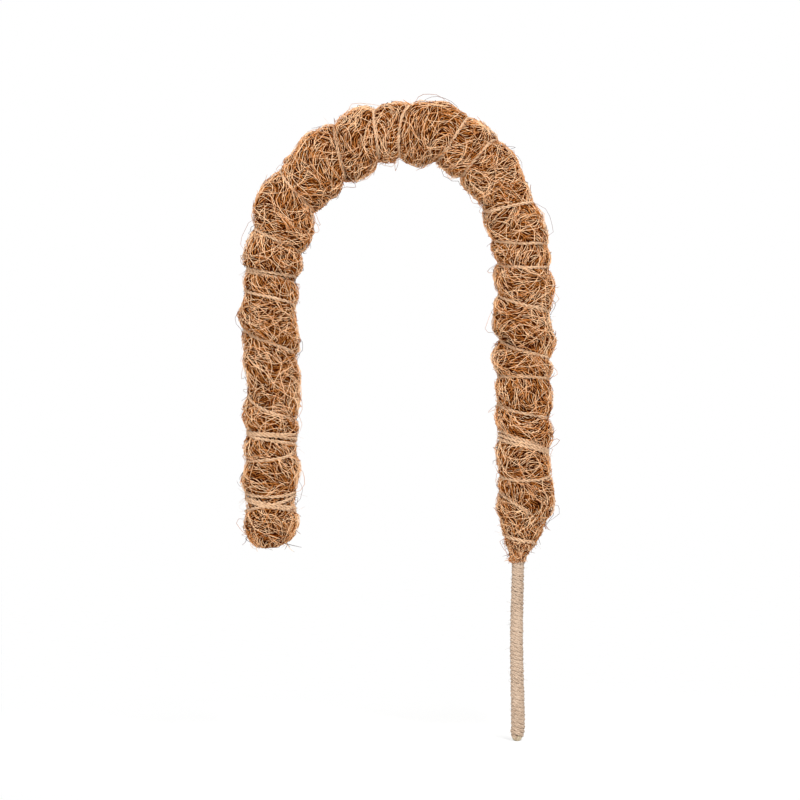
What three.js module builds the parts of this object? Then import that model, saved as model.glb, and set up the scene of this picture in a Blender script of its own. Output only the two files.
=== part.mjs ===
// A bendable moss pole: a wire core in a coir sleeve bound with twine, on a twine-wound stake.
// Millimetres, +Z up. The origin is the stake's end, and the pole bends in the XZ plane.
import * as THREE from "three";

// Driving sizes.
const POLE_LENGTH = 1000;
const STAKE_LENGTH = 162;
const CORE_DIAMETER = 4;
const TWINE_DIAMETER = 2.7;
const LOBE_RADIUS = 25;
const PINCH_RADIUS = 20.8;
const NECK_RADIUS = 16;
const NECK_SWELL = 1;
const SHOULDER_INSET = 3;
const SEAL_HEIGHT = 4;
const TIP_COVER = 14;
const FRINGE = 5;
const RIM_WALL = 1.6;
const TWINE_SLACK = 0.4;
const CLEARANCE = 0.3;
const STRAND_LOOPS = 24;

// Degrees that each lobe of the sleeve turns to the left, from the stake up, over and down to the tip.
const LOBE_BENDS = [
  -9, 9, 0, 0, 0, 0, 1, 15, 10, 20, 25, 20, 20, 15, 17, 18, 11, 9, 0, 0, 0, 0, 0, 0,
];

// The bending sections by their first lobe. A section turns against the one below it.
const SECTIONS = [
  ["stake", 0],
  ["leg_low", 3],
  ["leg_high", 5],
  ["arch_01", 7],
  ["arch_02", 8],
  ["arch_03", 9],
  ["arch_04", 10],
  ["arch_05", 11],
  ["arch_06", 12],
  ["arch_07", 13],
  ["arch_08", 14],
  ["arch_09", 15],
  ["arch_10", 16],
  ["drop_high", 17],
  ["drop_low", 19],
  ["tip", 21],
];
const LEG_SWING = 15;

// The twine's first turn round the neck, in shares of the first lobe.
const NECK_TURN = { from: 0.27, to: 0.55 };

// Colours, roughness and metalness.
const COIR = { color: 0xa77751, roughness: 0.95, metalness: 0 };
const TWINE = { color: 0xcdb29a, roughness: 0.9, metalness: 0 };
const WIRE = { color: 0x808080, roughness: 0.4, metalness: 1 };
const GLUE = { color: 0xae9e70, roughness: 0.45, metalness: 0 };

// Facet counts.
const SIDES = 16;
const CROSSING_STEPS = 7;
const TWINE_SIDES = 5;
const STRAND_STEPS = 8;
const CORE_SIDES = 6;

// Sizes that follow from the driving ones.
const LOBES = LOBE_BENDS.length;
const LOBE_LENGTH = (POLE_LENGTH - STAKE_LENGTH) / LOBES;
const CORE_RADIUS = CORE_DIAMETER / 2;
const TWINE_RADIUS = TWINE_DIAMETER / 2;
const ROUNDING = 1 / Math.cos(Math.PI / SIDES);
const BORE_RADIUS = (CORE_RADIUS + CLEARANCE) * ROUNDING;
const SOCKET_RADIUS = (PINCH_RADIUS + CLEARANCE) * ROUNDING;
const TWINE_LIFT = CLEARANCE + TWINE_SLACK + TWINE_RADIUS;
const TWINE_ANGLE = Math.asin((TWINE_RADIUS + 2 * CLEARANCE) / PINCH_RADIUS);
const STRAND_RADIUS = (CORE_RADIUS + CLEARANCE + TWINE_RADIUS) / Math.cos(Math.PI / STRAND_STEPS);
const WINDING_RADIUS = STRAND_RADIUS + TWINE_RADIUS;
const WINDING_TOP = STAKE_LENGTH + 3 * TWINE_DIAMETER;
const MOUTH_RADIUS = (WINDING_RADIUS + CLEARANCE) * ROUNDING;
const KNOT_LENGTH = 3 * TWINE_DIAMETER;
const KNOT_RADIUS = 0.95 * TWINE_DIAMETER;
const ACROSS = new THREE.Vector3(0, 1, 0);
const FULL_TURN = 2 * Math.PI;

const group = new THREE.Group();

function radians(degrees) {
  return (degrees * Math.PI) / 180;
}

// A place on the pole's axis: its point, its direction and the side that faces out of the bend.
function placed(point, heading) {
  return {
    point,
    heading,
    along: new THREE.Vector3(-Math.sin(heading), 0, Math.cos(heading)),
    out: new THREE.Vector3(Math.cos(heading), 0, Math.sin(heading)),
  };
}

function shifted(place, distance) {
  return placed(place.point.clone().addScaledVector(place.along, distance), place.heading);
}

// The place at the end of an arc of that length and bend.
function advanced(place, length, bend) {
  const half = bend / 2;
  const chord = half === 0 ? length : (length * Math.sin(half)) / half;
  const middle = placed(place.point, place.heading + half);
  const point = place.point.clone().addScaledVector(middle.along, chord);
  return placed(point, place.heading + bend);
}

const LOBE_STARTS = [placed(new THREE.Vector3(0, 0, STAKE_LENGTH), 0)];
LOBE_BENDS.forEach((bend, lobe) => {
  LOBE_STARTS.push(advanced(LOBE_STARTS[lobe], LOBE_LENGTH, radians(bend)));
});

// The place that is t lobes along the sleeve; the stake is below zero.
function placeAt(t) {
  const lobe = Math.min(Math.max(Math.floor(t), 0), LOBES - 1);
  const share = t - lobe;
  if (share < 0) return shifted(LOBE_STARTS[0], share * LOBE_LENGTH);
  return advanced(LOBE_STARTS[lobe], share * LOBE_LENGTH, radians(LOBE_BENDS[lobe]) * share);
}

function lobesFromHeight(height) {
  return (height - STAKE_LENGTH) / LOBE_LENGTH;
}

// The direction from the axis at an angle that starts at the back and goes by the outer side.
function rayAt(place, angle) {
  return ACROSS.clone()
    .multiplyScalar(Math.cos(angle))
    .addScaledVector(place.out, Math.sin(angle));
}

function ring(place, radius, sides = SIDES) {
  return Array.from({ length: sides }, (_, side) =>
    place.point.clone().addScaledVector(rayAt(place, (side * FULL_TURN) / sides), radius),
  );
}

function middleOf(points) {
  const sum = points.reduce((total, point) => total.add(point), new THREE.Vector3());
  return sum.divideScalar(points.length);
}

function signedVolume(points, faces) {
  let volume = 0;
  for (let i = 0; i < faces.length; i += 3) {
    const normal = points[faces[i + 1]].clone().cross(points[faces[i + 2]]);
    volume += points[faces[i]].dot(normal) / 6;
  }
  return volume;
}

// One closed skin through rings of equal size: a loop, or capped at both ends.
function skin(rings, looped) {
  const sides = rings[0].length;
  const points = rings.flat();
  const faces = [];
  const spans = looped ? rings.length : rings.length - 1;
  for (let span = 0; span < spans; span += 1) {
    const a = span * sides;
    const b = ((span + 1) % rings.length) * sides;
    for (let side = 0; side < sides; side += 1) {
      const next = (side + 1) % sides;
      faces.push(a + side, b + side, b + next, a + side, b + next, a + next);
    }
  }
  if (!looped) {
    const last = (rings.length - 1) * sides;
    const foot = points.push(middleOf(rings[0])) - 1;
    const head = points.push(middleOf(rings.at(-1))) - 1;
    for (let side = 0; side < sides; side += 1) {
      const next = (side + 1) % sides;
      faces.push(foot, side, next, head, last + next, last + side);
    }
  }
  if (signedVolume(points, faces) < 0) faces.reverse();
  const geometry = new THREE.BufferGeometry().setFromPoints(points);
  return geometry.setIndex(faces);
}

// A named piece of a group, with a material of its own.
function add(parent, name, geometry, finish) {
  const mesh = new THREE.Mesh(geometry, new THREE.MeshStandardMaterial(finish));
  mesh.name = name;
  parent.add(mesh);
  return mesh;
}

// The angle that the bend at the start of a lobe must leave free to both sides.
function swingAt(lobe) {
  return radians(Math.max(LEG_SWING, (LOBE_BENDS[lobe - 1] + LOBE_BENDS[lobe]) / 2));
}

function rimAngle(lobe) {
  return swingAt(lobe) + TWINE_ANGLE;
}

// The funnel from the mouth round the stake to the first pinch, as places and radii.
const NECK = [
  [lobesFromHeight(STAKE_LENGTH - FRINGE), MOUTH_RADIUS + CLEARANCE],
  [0.06, (MOUTH_RADIUS + NECK_RADIUS) / 2],
  [0.25, NECK_RADIUS],
  [0.58, NECK_RADIUS + NECK_SWELL],
  [0.78, LOBE_RADIUS - SHOULDER_INSET],
  [0.9, LOBE_RADIUS - SHOULDER_INSET],
];

// The sleeve's radius t lobes along it.
function sleeveRadius(t) {
  const next = NECK.findIndex(([place]) => place > t);
  if (next > 0) {
    const [from, fromRadius] = NECK[next - 1];
    const [to, toRadius] = NECK[next];
    return THREE.MathUtils.mapLinear(t, from, to, fromRadius, toRadius);
  }
  const rise = Math.max(Math.sin(Math.PI * (t - Math.floor(t))), 0) ** 0.6;
  return THREE.MathUtils.lerp(PINCH_RADIUS, LOBE_RADIUS, rise);
}

// The hollow that takes the ball of the section below, from the wire's bore out to the rim.
function socketRings(lobe) {
  const joint = LOBE_STARTS[lobe];
  const rim = rimAngle(lobe);
  const step = (radians(76) - rim) / 3;
  const hollow = SOCKET_RADIUS / Math.cos(step / 2);
  const rings = [3, 2, 1, 0].map((count) => {
    const angle = rim + count * step;
    return ring(shifted(joint, hollow * Math.sin(angle)), hollow * Math.cos(angle));
  });
  const edge = hollow + RIM_WALL;
  rings.push(ring(shifted(joint, edge * Math.sin(rim)), edge * Math.cos(rim)));
  return rings;
}

// The ball end that fills the next section's hollow, and the flare that lets its wire swing.
function ballRings(lobe) {
  const joint = LOBE_STARTS[lobe];
  const swing = swingAt(lobe);
  const end = rimAngle(lobe) + swing;
  const rings = [-TWINE_ANGLE, 0.45 * end, end].map((angle) =>
    ring(shifted(joint, PINCH_RADIUS * Math.sin(angle)), PINCH_RADIUS * Math.cos(angle)),
  );
  const reach = PINCH_RADIUS * Math.sin(end);
  const bow = (reach * reach * Math.abs(radians(LOBE_BENDS[lobe]))) / (2 * LOBE_LENGTH);
  const flare = reach * Math.tan(swing) + CORE_RADIUS / Math.cos(swing) + bow + CLEARANCE;
  rings.push(ring(shifted(joint, reach), flare * ROUNDING));
  rings.push(ring(shifted(joint, -CORE_RADIUS), BORE_RADIUS));
  return rings;
}

// The outside of one lobe between its pinches, clear of the rim where it starts at a joint.
function lobeRings(lobe, atJoint) {
  const clear = atJoint ? (SOCKET_RADIUS + RIM_WALL) * Math.sin(rimAngle(lobe)) : 0;
  const from = clear / LOBE_LENGTH + 0.07;
  return [0.2, 0.5, 0.8]
    .filter((share) => share > from)
    .map((share) => ring(placeAt(lobe + share), sleeveRadius(lobe + share)));
}

function pinchRings(t) {
  const half = (TWINE_RADIUS + CLEARANCE) / LOBE_LENGTH;
  return [-half, half].map((offset) => ring(placeAt(t + offset), PINCH_RADIUS));
}

function neckRings() {
  const top = lobesFromHeight(WINDING_TOP + CLEARANCE);
  const [mouth] = NECK[0];
  const inner = [
    ring(placeAt(top), BORE_RADIUS),
    ring(placeAt(top), MOUTH_RADIUS),
    ring(placeAt(mouth), MOUTH_RADIUS),
  ];
  return [...inner, ...NECK.map(([t, radius]) => ring(placeAt(t), radius))];
}

// The rounded free end, past its last pinch.
function domeRings() {
  const shares = [0.2, 0.5, 0.72, 0.88, 0.97];
  const crown = 0.5;
  return shares.map((share) => {
    const past = Math.max(share - crown, 0) / (1 - crown);
    const radius = LOBE_RADIUS * Math.sqrt(1 - past * past);
    const lobe = share < crown ? sleeveRadius(LOBES - 1 + share) : radius;
    return ring(placeAt(LOBES - 1 + share), lobe);
  });
}

// The wire's bore from the far end of a section back to the near end.
function boreRings(first, last) {
  const blind = last === LOBES;
  const depth = SOCKET_RADIUS / Math.cos(radians(12)) + CLEARANCE;
  const near = first === 0 ? lobesFromHeight(WINDING_TOP + CLEARANCE) : first + depth / LOBE_LENGTH;
  const far = blind ? LOBES - (TIP_COVER - CLEARANCE) / LOBE_LENGTH : last;
  const rings = blind ? [ring(placeAt(far), BORE_RADIUS)] : [];
  for (let t = Math.ceil(far * 2) / 2 - 0.5; t > near + 0.1; t -= 0.5) {
    const bent = LOBE_BENDS[Math.floor(t)] !== 0 || LOBE_BENDS[Math.floor(t - 0.5)] !== 0;
    if (bent) rings.push(ring(placeAt(t), BORE_RADIUS));
  }
  if (first > 0) rings.push(ring(placeAt(near), BORE_RADIUS));
  return rings;
}

function addSleeve(parent, name, first, last) {
  const rings = boreRings(first, last);
  rings.push(...(first === 0 ? neckRings() : socketRings(first)));
  for (let lobe = first; lobe < last; lobe += 1) {
    const startsAtJoint = lobe === first;
    if (!startsAtJoint) rings.push(...pinchRings(lobe));
    if (lobe === LOBES - 1) rings.push(...domeRings());
    else if (lobe > 0) rings.push(...lobeRings(lobe, startsAtJoint));
  }
  if (last < LOBES) rings.push(...ballRings(last));
  add(parent, "coir_" + name, skin(rings, last < LOBES), COIR);
}

// The wire of one section, with its ends tapered so that the next length can swing.
function addCore(parent, name, first, last) {
  const gap = 0.5 * CLEARANCE;
  const rings = [];
  const end = (lobe, sign) => {
    const swing = lobe === 0 || lobe === LOBES ? 0 : swingAt(lobe);
    const taper = 0.3 * CORE_RADIUS;
    const tip = gap + taper * Math.tan(swing / 2);
    const full = gap + CORE_RADIUS * Math.tan(swing / 2) + taper;
    return [
      ring(shifted(LOBE_STARTS[lobe], sign * tip), taper, CORE_SIDES),
      ring(shifted(LOBE_STARTS[lobe], sign * full), CORE_RADIUS, CORE_SIDES),
    ];
  };
  if (first === 0) {
    const foot = lobesFromHeight(SEAL_HEIGHT + CLEARANCE);
    rings.push(ring(placeAt(foot), CORE_RADIUS, CORE_SIDES), ring(placeAt(0), CORE_RADIUS, CORE_SIDES));
  } else {
    rings.push(...end(first, 1));
  }
  for (let t = first + 0.25; t < last - 0.1; t += 0.25) {
    if (LOBE_BENDS[Math.floor(t)] !== 0) rings.push(ring(placeAt(t), CORE_RADIUS, CORE_SIDES));
  }
  if (last === LOBES) rings.push(ring(placeAt(LOBES - TIP_COVER / LOBE_LENGTH), CORE_RADIUS, CORE_SIDES));
  else rings.push(...end(last, -1).reverse());
  add(parent, "core_" + name, skin(rings, false), WIRE);
}

// A round tube along points, each with the direction that counts as its top.
function tube(points, tops) {
  const rings = points.map((point, index) => {
    const before = points[Math.max(index - 1, 0)];
    const after = points[Math.min(index + 1, points.length - 1)];
    const along = after.clone().sub(before).normalize();
    const side = along.clone().cross(tops[index]).normalize();
    const top = side.clone().cross(along);
    return Array.from({ length: TWINE_SIDES }, (_, count) => {
      const angle = (count * FULL_TURN) / TWINE_SIDES;
      return point
        .clone()
        .addScaledVector(top, TWINE_RADIUS * Math.cos(angle))
        .addScaledVector(side, TWINE_RADIUS * Math.sin(angle));
    });
  });
  return skin(rings, false);
}

// Points every half radius along a line, with their distance from its start.
function walked(points) {
  const steps = [];
  let travelled = 0;
  points.slice(1).forEach((point, index) => {
    const length = point.distanceTo(points[index]);
    const count = Math.ceil(length / (TWINE_RADIUS / 2));
    for (let step = 0; step < count; step += 1) {
      const share = step / count;
      steps.push([points[index].clone().lerp(point, share), travelled + share * length]);
    }
    travelled += length;
  });
  return steps;
}

// The least gap between parts of one tube, or between two tubes.
function leastGap(points, others = points) {
  const line = walked(points);
  const other = walked(others);
  let least = Infinity;
  line.forEach(([point, distance]) => {
    other.forEach(([against, away]) => {
      const same = points === others && Math.abs(distance - away) < 3 * TWINE_DIAMETER;
      if (!same) least = Math.min(least, point.distanceTo(against));
    });
  });
  return least - TWINE_DIAMETER;
}

function report(name, gap) {
  const size = Number.isFinite(gap) ? gap.toFixed(2) + " mm" : "none, under one turn";
  console.log("least gap of " + name + ": " + size);
}

// A point of the binding twine, on the sleeve.
function twinePoint(t, angle) {
  const place = placeAt(t);
  const top = rayAt(place, angle);
  const radius = sleeveRadius(t) + TWINE_LIFT;
  return { point: place.point.clone().addScaledVector(top, radius), top };
}

// One section of binding twine: over each lobe, then round in the pinch at its end. It passes each joint at
// the back, where the joint's axis meets the sleeve.
function addTwine(parent, name, first, last) {
  const turn = FULL_TURN / SIDES;
  const trim = (2 * CLEARANCE) / PINCH_RADIUS;
  const route = [];
  const firstLobe = Math.max(first, 0);
  if (first === 0) {
    for (let step = 0; step < SIDES; step += 1) {
      route.push([THREE.MathUtils.lerp(NECK_TURN.from, NECK_TURN.to, step / SIDES), step * turn]);
    }
  }
  for (let lobe = firstLobe; lobe < Math.min(last, LOBES - 1); lobe += 1) {
    const from = lobe === 0 ? NECK_TURN.to : lobe;
    for (let step = 0; step < SIDES; step += 1) {
      const crossed = Math.min(step / CROSSING_STEPS, 1);
      route.push([THREE.MathUtils.lerp(from, lobe + 1, crossed), step * turn]);
    }
    if (lobe === last - 1 || lobe === LOBES - 2) route.push([lobe + 1, FULL_TURN]);
  }
  if (first > 0) route[0][1] += trim;
  route.at(-1)[1] -= trim;
  const made = route.map(([t, angle]) => twinePoint(t, angle));
  const points = made.map(({ point }) => point);
  add(parent, "twine_" + name, tube(points, made.map(({ top }) => top)), TWINE);
  report("twine_" + name, leastGap(points));
  return points;
}

// A knot on a twine's end: a bead on the line from the twine's last but one point through its last.
function addKnot(parent, name, before, end) {
  const along = end.clone().sub(before).normalize();
  const bead = new THREE.SphereGeometry(1, 10, 6);
  bead.scale(KNOT_RADIUS, KNOT_LENGTH / 2, KNOT_RADIUS);
  bead.deleteAttribute("uv");
  const knot = add(parent, name, bead, TWINE);
  knot.position.copy(end).addScaledVector(along, KNOT_LENGTH / 2 + CLEARANCE);
  knot.quaternion.setFromUnitVectors(ACROSS, along);
}

// One strand of the stake's winding, from the seal to a straight end in the neck's mouth.
function strandPoints(start) {
  const foot = SEAL_HEIGHT + CLEARANCE + TWINE_RADIUS;
  const pitch = (WINDING_TOP - TWINE_DIAMETER - foot) / STRAND_LOOPS;
  const steps = STRAND_LOOPS * STRAND_STEPS;
  const points = [];
  for (let step = 0; step <= steps; step += 1) {
    const angle = start + (step * FULL_TURN) / STRAND_STEPS;
    const height = foot + (pitch * step) / STRAND_STEPS;
    const place = placeAt(lobesFromHeight(height));
    points.push(place.point.clone().addScaledVector(rayAt(place, angle), STRAND_RADIUS));
  }
  const end = points.at(-1).clone();
  end.z = WINDING_TOP;
  return [...points, end];
}

function addStrand(parent, name, points) {
  const tops = points.map((point) => new THREE.Vector3(point.x, point.y, 0).normalize());
  add(parent, name, tube(points, tops), TWINE);
  report(name, leastGap(points));
}

// The rounded seal at the stake's end, flat where it meets the ground.
function addSeal(parent) {
  const profile = [
    [0, 0.45],
    [0.18, 0.72],
    [0.5, 0.93],
    [1, 1],
  ];
  const rings = profile.map(([height, width]) =>
    ring(placeAt(lobesFromHeight(height * SEAL_HEIGHT)), width * WINDING_RADIUS),
  );
  add(parent, "stake_tip_seal", skin(rings, false), GLUE);
}

SECTIONS.forEach(([name, first], index) => {
  const last = index + 1 < SECTIONS.length ? SECTIONS[index + 1][1] : LOBES;
  const section = new THREE.Group();
  group.add(section);
  addSleeve(section, name, first, last);
  addCore(section, name, first, last);
  const points = addTwine(section, name, first, last);
  if (first === 0) addKnot(section, "neck_knot", points[1], points[0]);
  if (last === LOBES) addKnot(section, "tip_knot", points.at(-2), points.at(-1));
});

const strandA = strandPoints(0);
const strandB = strandPoints(FULL_TURN / 2);
const winding = new THREE.Group();
group.add(winding);
addStrand(winding, "stake_strand_a", strandA);
addStrand(winding, "stake_strand_b", strandB);
report("stake_strand_a to stake_strand_b", leastGap(strandA, strandB));
addSeal(winding);

export default group;
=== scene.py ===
"""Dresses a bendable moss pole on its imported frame.

A coir sleeve, bound with twine over a soft wire core, stands on a bare twine-wound stake. Sizes are in
millimetres, and a place along the pole is its distance from the stake's end. Meshes are made in metres in
the frame of the CAD: the stake's end is the origin, +Z is up, the pole bends in the XZ plane, and the
photograph is taken along +Y.
"""

import logging
import math
from dataclasses import dataclass, field
from enum import Enum
from typing import Any, Callable, Optional, Sequence, Union

import bpy
import numpy as np
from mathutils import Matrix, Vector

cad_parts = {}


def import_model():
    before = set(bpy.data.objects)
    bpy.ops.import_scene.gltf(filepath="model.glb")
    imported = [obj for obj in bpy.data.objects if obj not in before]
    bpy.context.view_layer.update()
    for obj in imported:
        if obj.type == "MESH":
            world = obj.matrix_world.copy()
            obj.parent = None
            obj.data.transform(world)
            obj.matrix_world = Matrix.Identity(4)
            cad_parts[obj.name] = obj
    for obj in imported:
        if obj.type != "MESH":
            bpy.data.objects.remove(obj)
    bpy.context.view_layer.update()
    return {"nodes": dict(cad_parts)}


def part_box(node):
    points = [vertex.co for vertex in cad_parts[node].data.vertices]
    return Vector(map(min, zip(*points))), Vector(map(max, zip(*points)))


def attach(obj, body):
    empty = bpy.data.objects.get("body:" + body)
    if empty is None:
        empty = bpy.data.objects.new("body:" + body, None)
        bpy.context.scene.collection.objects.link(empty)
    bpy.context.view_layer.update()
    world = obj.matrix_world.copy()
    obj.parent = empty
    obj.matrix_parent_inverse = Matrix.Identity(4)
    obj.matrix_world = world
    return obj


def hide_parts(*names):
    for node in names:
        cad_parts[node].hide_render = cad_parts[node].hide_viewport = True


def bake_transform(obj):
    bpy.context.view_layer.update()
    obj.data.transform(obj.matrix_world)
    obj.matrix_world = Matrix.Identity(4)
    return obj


Array = np.ndarray
Colour = tuple[float, float, float]
Numbers = tuple[float, float]

MM = 0.001
FULL_TURN = 2.0 * math.pi
QUARTER = math.pi / 2.0
BAKE_MAP = "OFBake"
SMALL = 1e-6
TINY = 1e-12
BACK = np.array([0.0, 1.0, 0.0])
# Steps that spread points evenly over a square: the first two powers of one over the plastic number.
EVEN = np.array([0.7548776662, 0.5698402910])

LOG = logging.getLogger("moss_pole")


class Slot(Enum):
    """The record's material slots."""

    COIR = "coir"
    TWINE = "twine"
    WIRE = "core_wire"
    GLUE = "glue"


def unit(vectors: Array) -> Array:
    """The vectors, each at a length of one."""
    return vectors / (np.linalg.norm(vectors, axis=-1, keepdims=True) + TINY)


def travelled(points: Array) -> Array:
    """How far each point lies along its line, whose points are on the last axis but one."""
    steps = np.linalg.norm(np.diff(points, axis=-2), axis=-1)
    return np.concatenate([np.zeros_like(steps[..., :1]), np.cumsum(steps, axis=-1)], axis=-1)


def per_fibre(draw: np.random.Generator, limits: Numbers, count: int) -> Array:
    """Draws values between two limits, one to a row."""
    return draw.uniform(*limits, (count, 1))


@dataclass(frozen=True)
class Waves:
    """Waves of one sort over the unrolled sleeve: their lengths, height and how many at most go round."""

    length: Numbers
    height: float
    turns: int

    @staticmethod
    def summed(
        sorts: Sequence["Waves"], count: int, seed: int, places: Array, angles: Array, level: float = 0.0
    ) -> Array:
        """Adds up waves that are drawn at random.

        Args:
            sorts: the sorts of wave.
            count: how many waves there are of each sort.
            seed: where the random numbers start.
            places: distances along the pole.
            angles: angles round it.
            level: what the waves are added to.

        Returns:
            The heights.
        """
        draw = np.random.default_rng(seed)
        total = np.full(np.broadcast(places, angles).shape, level)
        for sort in sorts:
            for _ in range(count):
                around = draw.integers(-sort.turns, sort.turns + 1)
                length = draw.uniform(*sort.length)
                phase = draw.uniform(0.0, FULL_TURN)
                total = total + sort.height * np.cos(around * angles + FULL_TURN * places / length + phase)
        return total


def _operator(operation: str, swapped: bool = False) -> Callable[["Signal", "Operand"], "Signal"]:
    """Makes a Python operator that adds a Math node.

    Args:
        operation: what the node does.
        swapped: whether the signal is the second of the two values.

    Returns:
        The operator's method.
    """

    def apply(self: "Signal", other: "Operand") -> "Signal":
        """Adds the node."""
        values = (other, self) if swapped else (self, other)
        return self.graph.maths(operation, *values)

    return apply


class Signal:
    """An output socket that takes part in Python arithmetic."""

    def __init__(self, graph: "FinishGraph", socket: bpy.types.NodeSocket) -> None:
        """Keeps the socket and the graph that it belongs to."""
        self.graph = graph
        self.socket = socket

    __add__ = _operator("ADD")
    __radd__ = _operator("ADD", True)
    __sub__ = _operator("SUBTRACT")
    __rsub__ = _operator("SUBTRACT", True)
    __mul__ = _operator("MULTIPLY")


Operand = Union[Signal, float]


class FinishGraph:
    """The node tree of one material or world, built from expressions."""

    def __init__(self, owner: Union[bpy.types.Material, bpy.types.World]) -> None:
        """Empties the tree of a new material or world.

        Args:
            owner: the material or world.
        """
        owner.use_nodes = True
        self.owner = owner
        self.tree = owner.node_tree
        self.tree.nodes.clear()

    @classmethod
    def named(cls, name: str) -> "FinishGraph":
        """Starts a material of that name."""
        return cls(bpy.data.materials.new(name))

    def node(
        self,
        kind: str,
        settings: Optional[dict[str, Any]] = None,
        inputs: Optional[dict[Union[str, int], Any]] = None,
        output: Union[str, int] = 0,
    ) -> Signal:
        """Adds any node.

        Args:
            kind: the node's type.
            settings: its properties, set first; stops is the list of a ramp's places and colours.
            inputs: the values or signals of its sockets.
            output: the socket that the rest of the graph reads.

        Returns:
            The chosen output.
        """
        made = self.tree.nodes.new(kind)
        for key, value in (settings or {}).items():
            if key == "stops":
                self._set_stops(made, value)
            else:
                setattr(made, key, value)
        for key, value in (inputs or {}).items():
            self._feed(made.inputs[key], value)
        return Signal(self, made.outputs[output])

    def maths(self, operation: str, first: Operand, second: Operand) -> Signal:
        """Adds a Math node on two values."""
        return self.node("ShaderNodeMath", {"operation": operation}, {0: first, 1: second})

    def ramp(self, factor: Signal, stops: Sequence[tuple[float, Colour]]) -> Signal:
        """Adds a colour ramp that reads a value."""
        return self.node("ShaderNodeValToRGB", {"stops": stops}, {"Fac": factor}, "Color")

    def noise(self, where: Signal, scale: float, detail: float = 2.0, rough: float = 0.5) -> Signal:
        """Adds noise over the given coordinates."""
        inputs = {"Vector": where, "Scale": scale, "Detail": detail, "Roughness": rough}
        return self.node("ShaderNodeTexNoise", None, inputs, "Fac")

    def attribute(self, name: str) -> Signal:
        """Adds a reader of one of the mesh's own values."""
        return self.node("ShaderNodeAttribute", {"attribute_name": name}, None, "Fac")

    def place(self) -> Signal:
        """Adds the Object coordinates."""
        return self.node("ShaderNodeTexCoord", None, None, "Object")

    def looked_at(self) -> Signal:
        """Adds a value that is 1 for what the camera sees, also in a mirror or through glass.

        Returns:
            The value, which is 0 for all other light.
        """
        rays = ("Is Camera Ray", "Is Glossy Ray", "Is Transmission Ray")
        seen, mirrored, through = (self.node("ShaderNodeLightPath", None, None, ray) for ray in rays)
        return self.maths("MAXIMUM", self.maths("MAXIMUM", seen, mirrored), through)

    def bump(self, height: Signal, strength: float, distance: float) -> Signal:
        """Adds a bump for the Normal socket."""
        inputs = {"Height": height, "Strength": strength, "Distance": distance}
        return self.node("ShaderNodeBump", None, inputs, "Normal")

    def surface(self, inputs: dict[Union[str, int], Any]) -> bpy.types.Material:
        """Ends the graph in a Principled surface with those sockets."""
        return self.output(self.node("ShaderNodeBsdfPrincipled", None, inputs))

    def output(self, shader: Signal, kind: str = "ShaderNodeOutputMaterial") -> Any:
        """Ends the graph in any shader.

        Args:
            shader: what the surface shows.
            kind: the type of the last node.

        Returns:
            The finished material or world.
        """
        end = self.tree.nodes.new(kind)
        self._feed(end.inputs["Surface"], shader)
        return self.owner

    def _feed(self, socket: bpy.types.NodeSocket, value: Any) -> None:
        """Links a signal to a socket, or sets the socket's own value.

        Args:
            socket: an input of a node.
            value: a signal, a number or a colour.
        """
        if isinstance(value, Signal):
            self.tree.links.new(value.socket, socket)
        elif isinstance(value, tuple) and len(value) == 3 and socket.type == "RGBA":
            socket.default_value = (*value, 1.0)
        else:
            socket.default_value = value

    @staticmethod
    def _set_stops(ramp: bpy.types.Node, stops: Sequence[tuple[float, Colour]]) -> None:
        """Gives a ramp its places and colours.

        Args:
            ramp: the node.
            stops: its places, from 0 to 1, and their colours.
        """
        elements = ramp.color_ramp.elements
        while len(elements) < len(stops):
            elements.new(0.5)
        for element, (place, colour) in zip(elements, stops):
            element.position = place
            element.color = (*colour, 1.0)


@dataclass(frozen=True)
class FibreFinish:
    """Loose coir fibre, from the painted shade of the depth, near black, to the straw of the outside."""

    name: str = "coir_fibre"
    # Near black: painted shade between the fibres, where the lower layers' low tones fall.
    painted_shade_deep: Colour = (0.058, 0.005, 0.0)
    brown: Colour = (0.29, 0.064, 0.003)
    golden: Colour = (0.62, 0.237, 0.058)
    straw: Colour = (1.0, 0.665, 0.400)
    patch_scale: float = 38.0
    fleck_scale: float = 700.0

    def material(self) -> bpy.types.Material:
        """Makes the material, whose colour follows each fibre's own tone; the lowest tones give painted
        shade.

        Returns:
            The material.
        """
        graph = FinishGraph.named(self.name)
        where = graph.place()
        patches = graph.noise(where, self.patch_scale)
        flecks = graph.noise(where, self.fleck_scale, 3.0, 0.6)
        shade = graph.attribute("tone") + (patches - 0.5) * 0.12 + (flecks - 0.5) * 0.5
        stops = ((0.0, self.painted_shade_deep), (0.3, self.brown), (0.65, self.golden), (1.0, self.straw))
        return graph.surface(
            {
                "Base Color": graph.ramp(shade, stops),
                "Roughness": 0.62 + flecks * 0.3,
                "Specular IOR Level": 0.02,
                "Normal": graph.bump(flecks, 0.35, 0.0002),
            }
        )


@dataclass(frozen=True)
class MatFinish:
    """The pressed coir mat that shows in the gaps between the loose fibres: its own coir brown, darkened to
    near black as painted shade.
    """

    name: str = "coir_mat"
    # Near-black colours: painted shade deep between the fibres, over the mat's own brown.
    gap: Colour = (0.022, 0.006, 0.001)
    brown: Colour = (0.10, 0.034, 0.008)
    golden: Colour = (0.26, 0.105, 0.032)
    strand_scale: float = 420.0
    clump_scale: float = 120.0

    def material(self) -> bpy.types.Material:
        """Makes the material: fine crossed streaks of fibre, dark as painted shade.

        Returns:
            The material.
        """
        graph = FinishGraph.named(self.name)
        where = graph.place()
        strands = graph.noise(where, self.strand_scale, 4.0, 0.65)
        clumps = graph.noise(where, self.clump_scale, 3.0)
        shade = strands * 0.7 + clumps * 0.5 - 0.1
        stops = ((0.3, self.gap), (0.52, self.brown), (0.75, self.golden))
        return graph.surface(
            {
                "Base Color": graph.ramp(shade, stops),
                "Roughness": 0.75 + clumps * 0.2,
                "Specular IOR Level": 0.02,
                "Normal": graph.bump(shade, 0.8, 0.0012),
            }
        )


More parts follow.
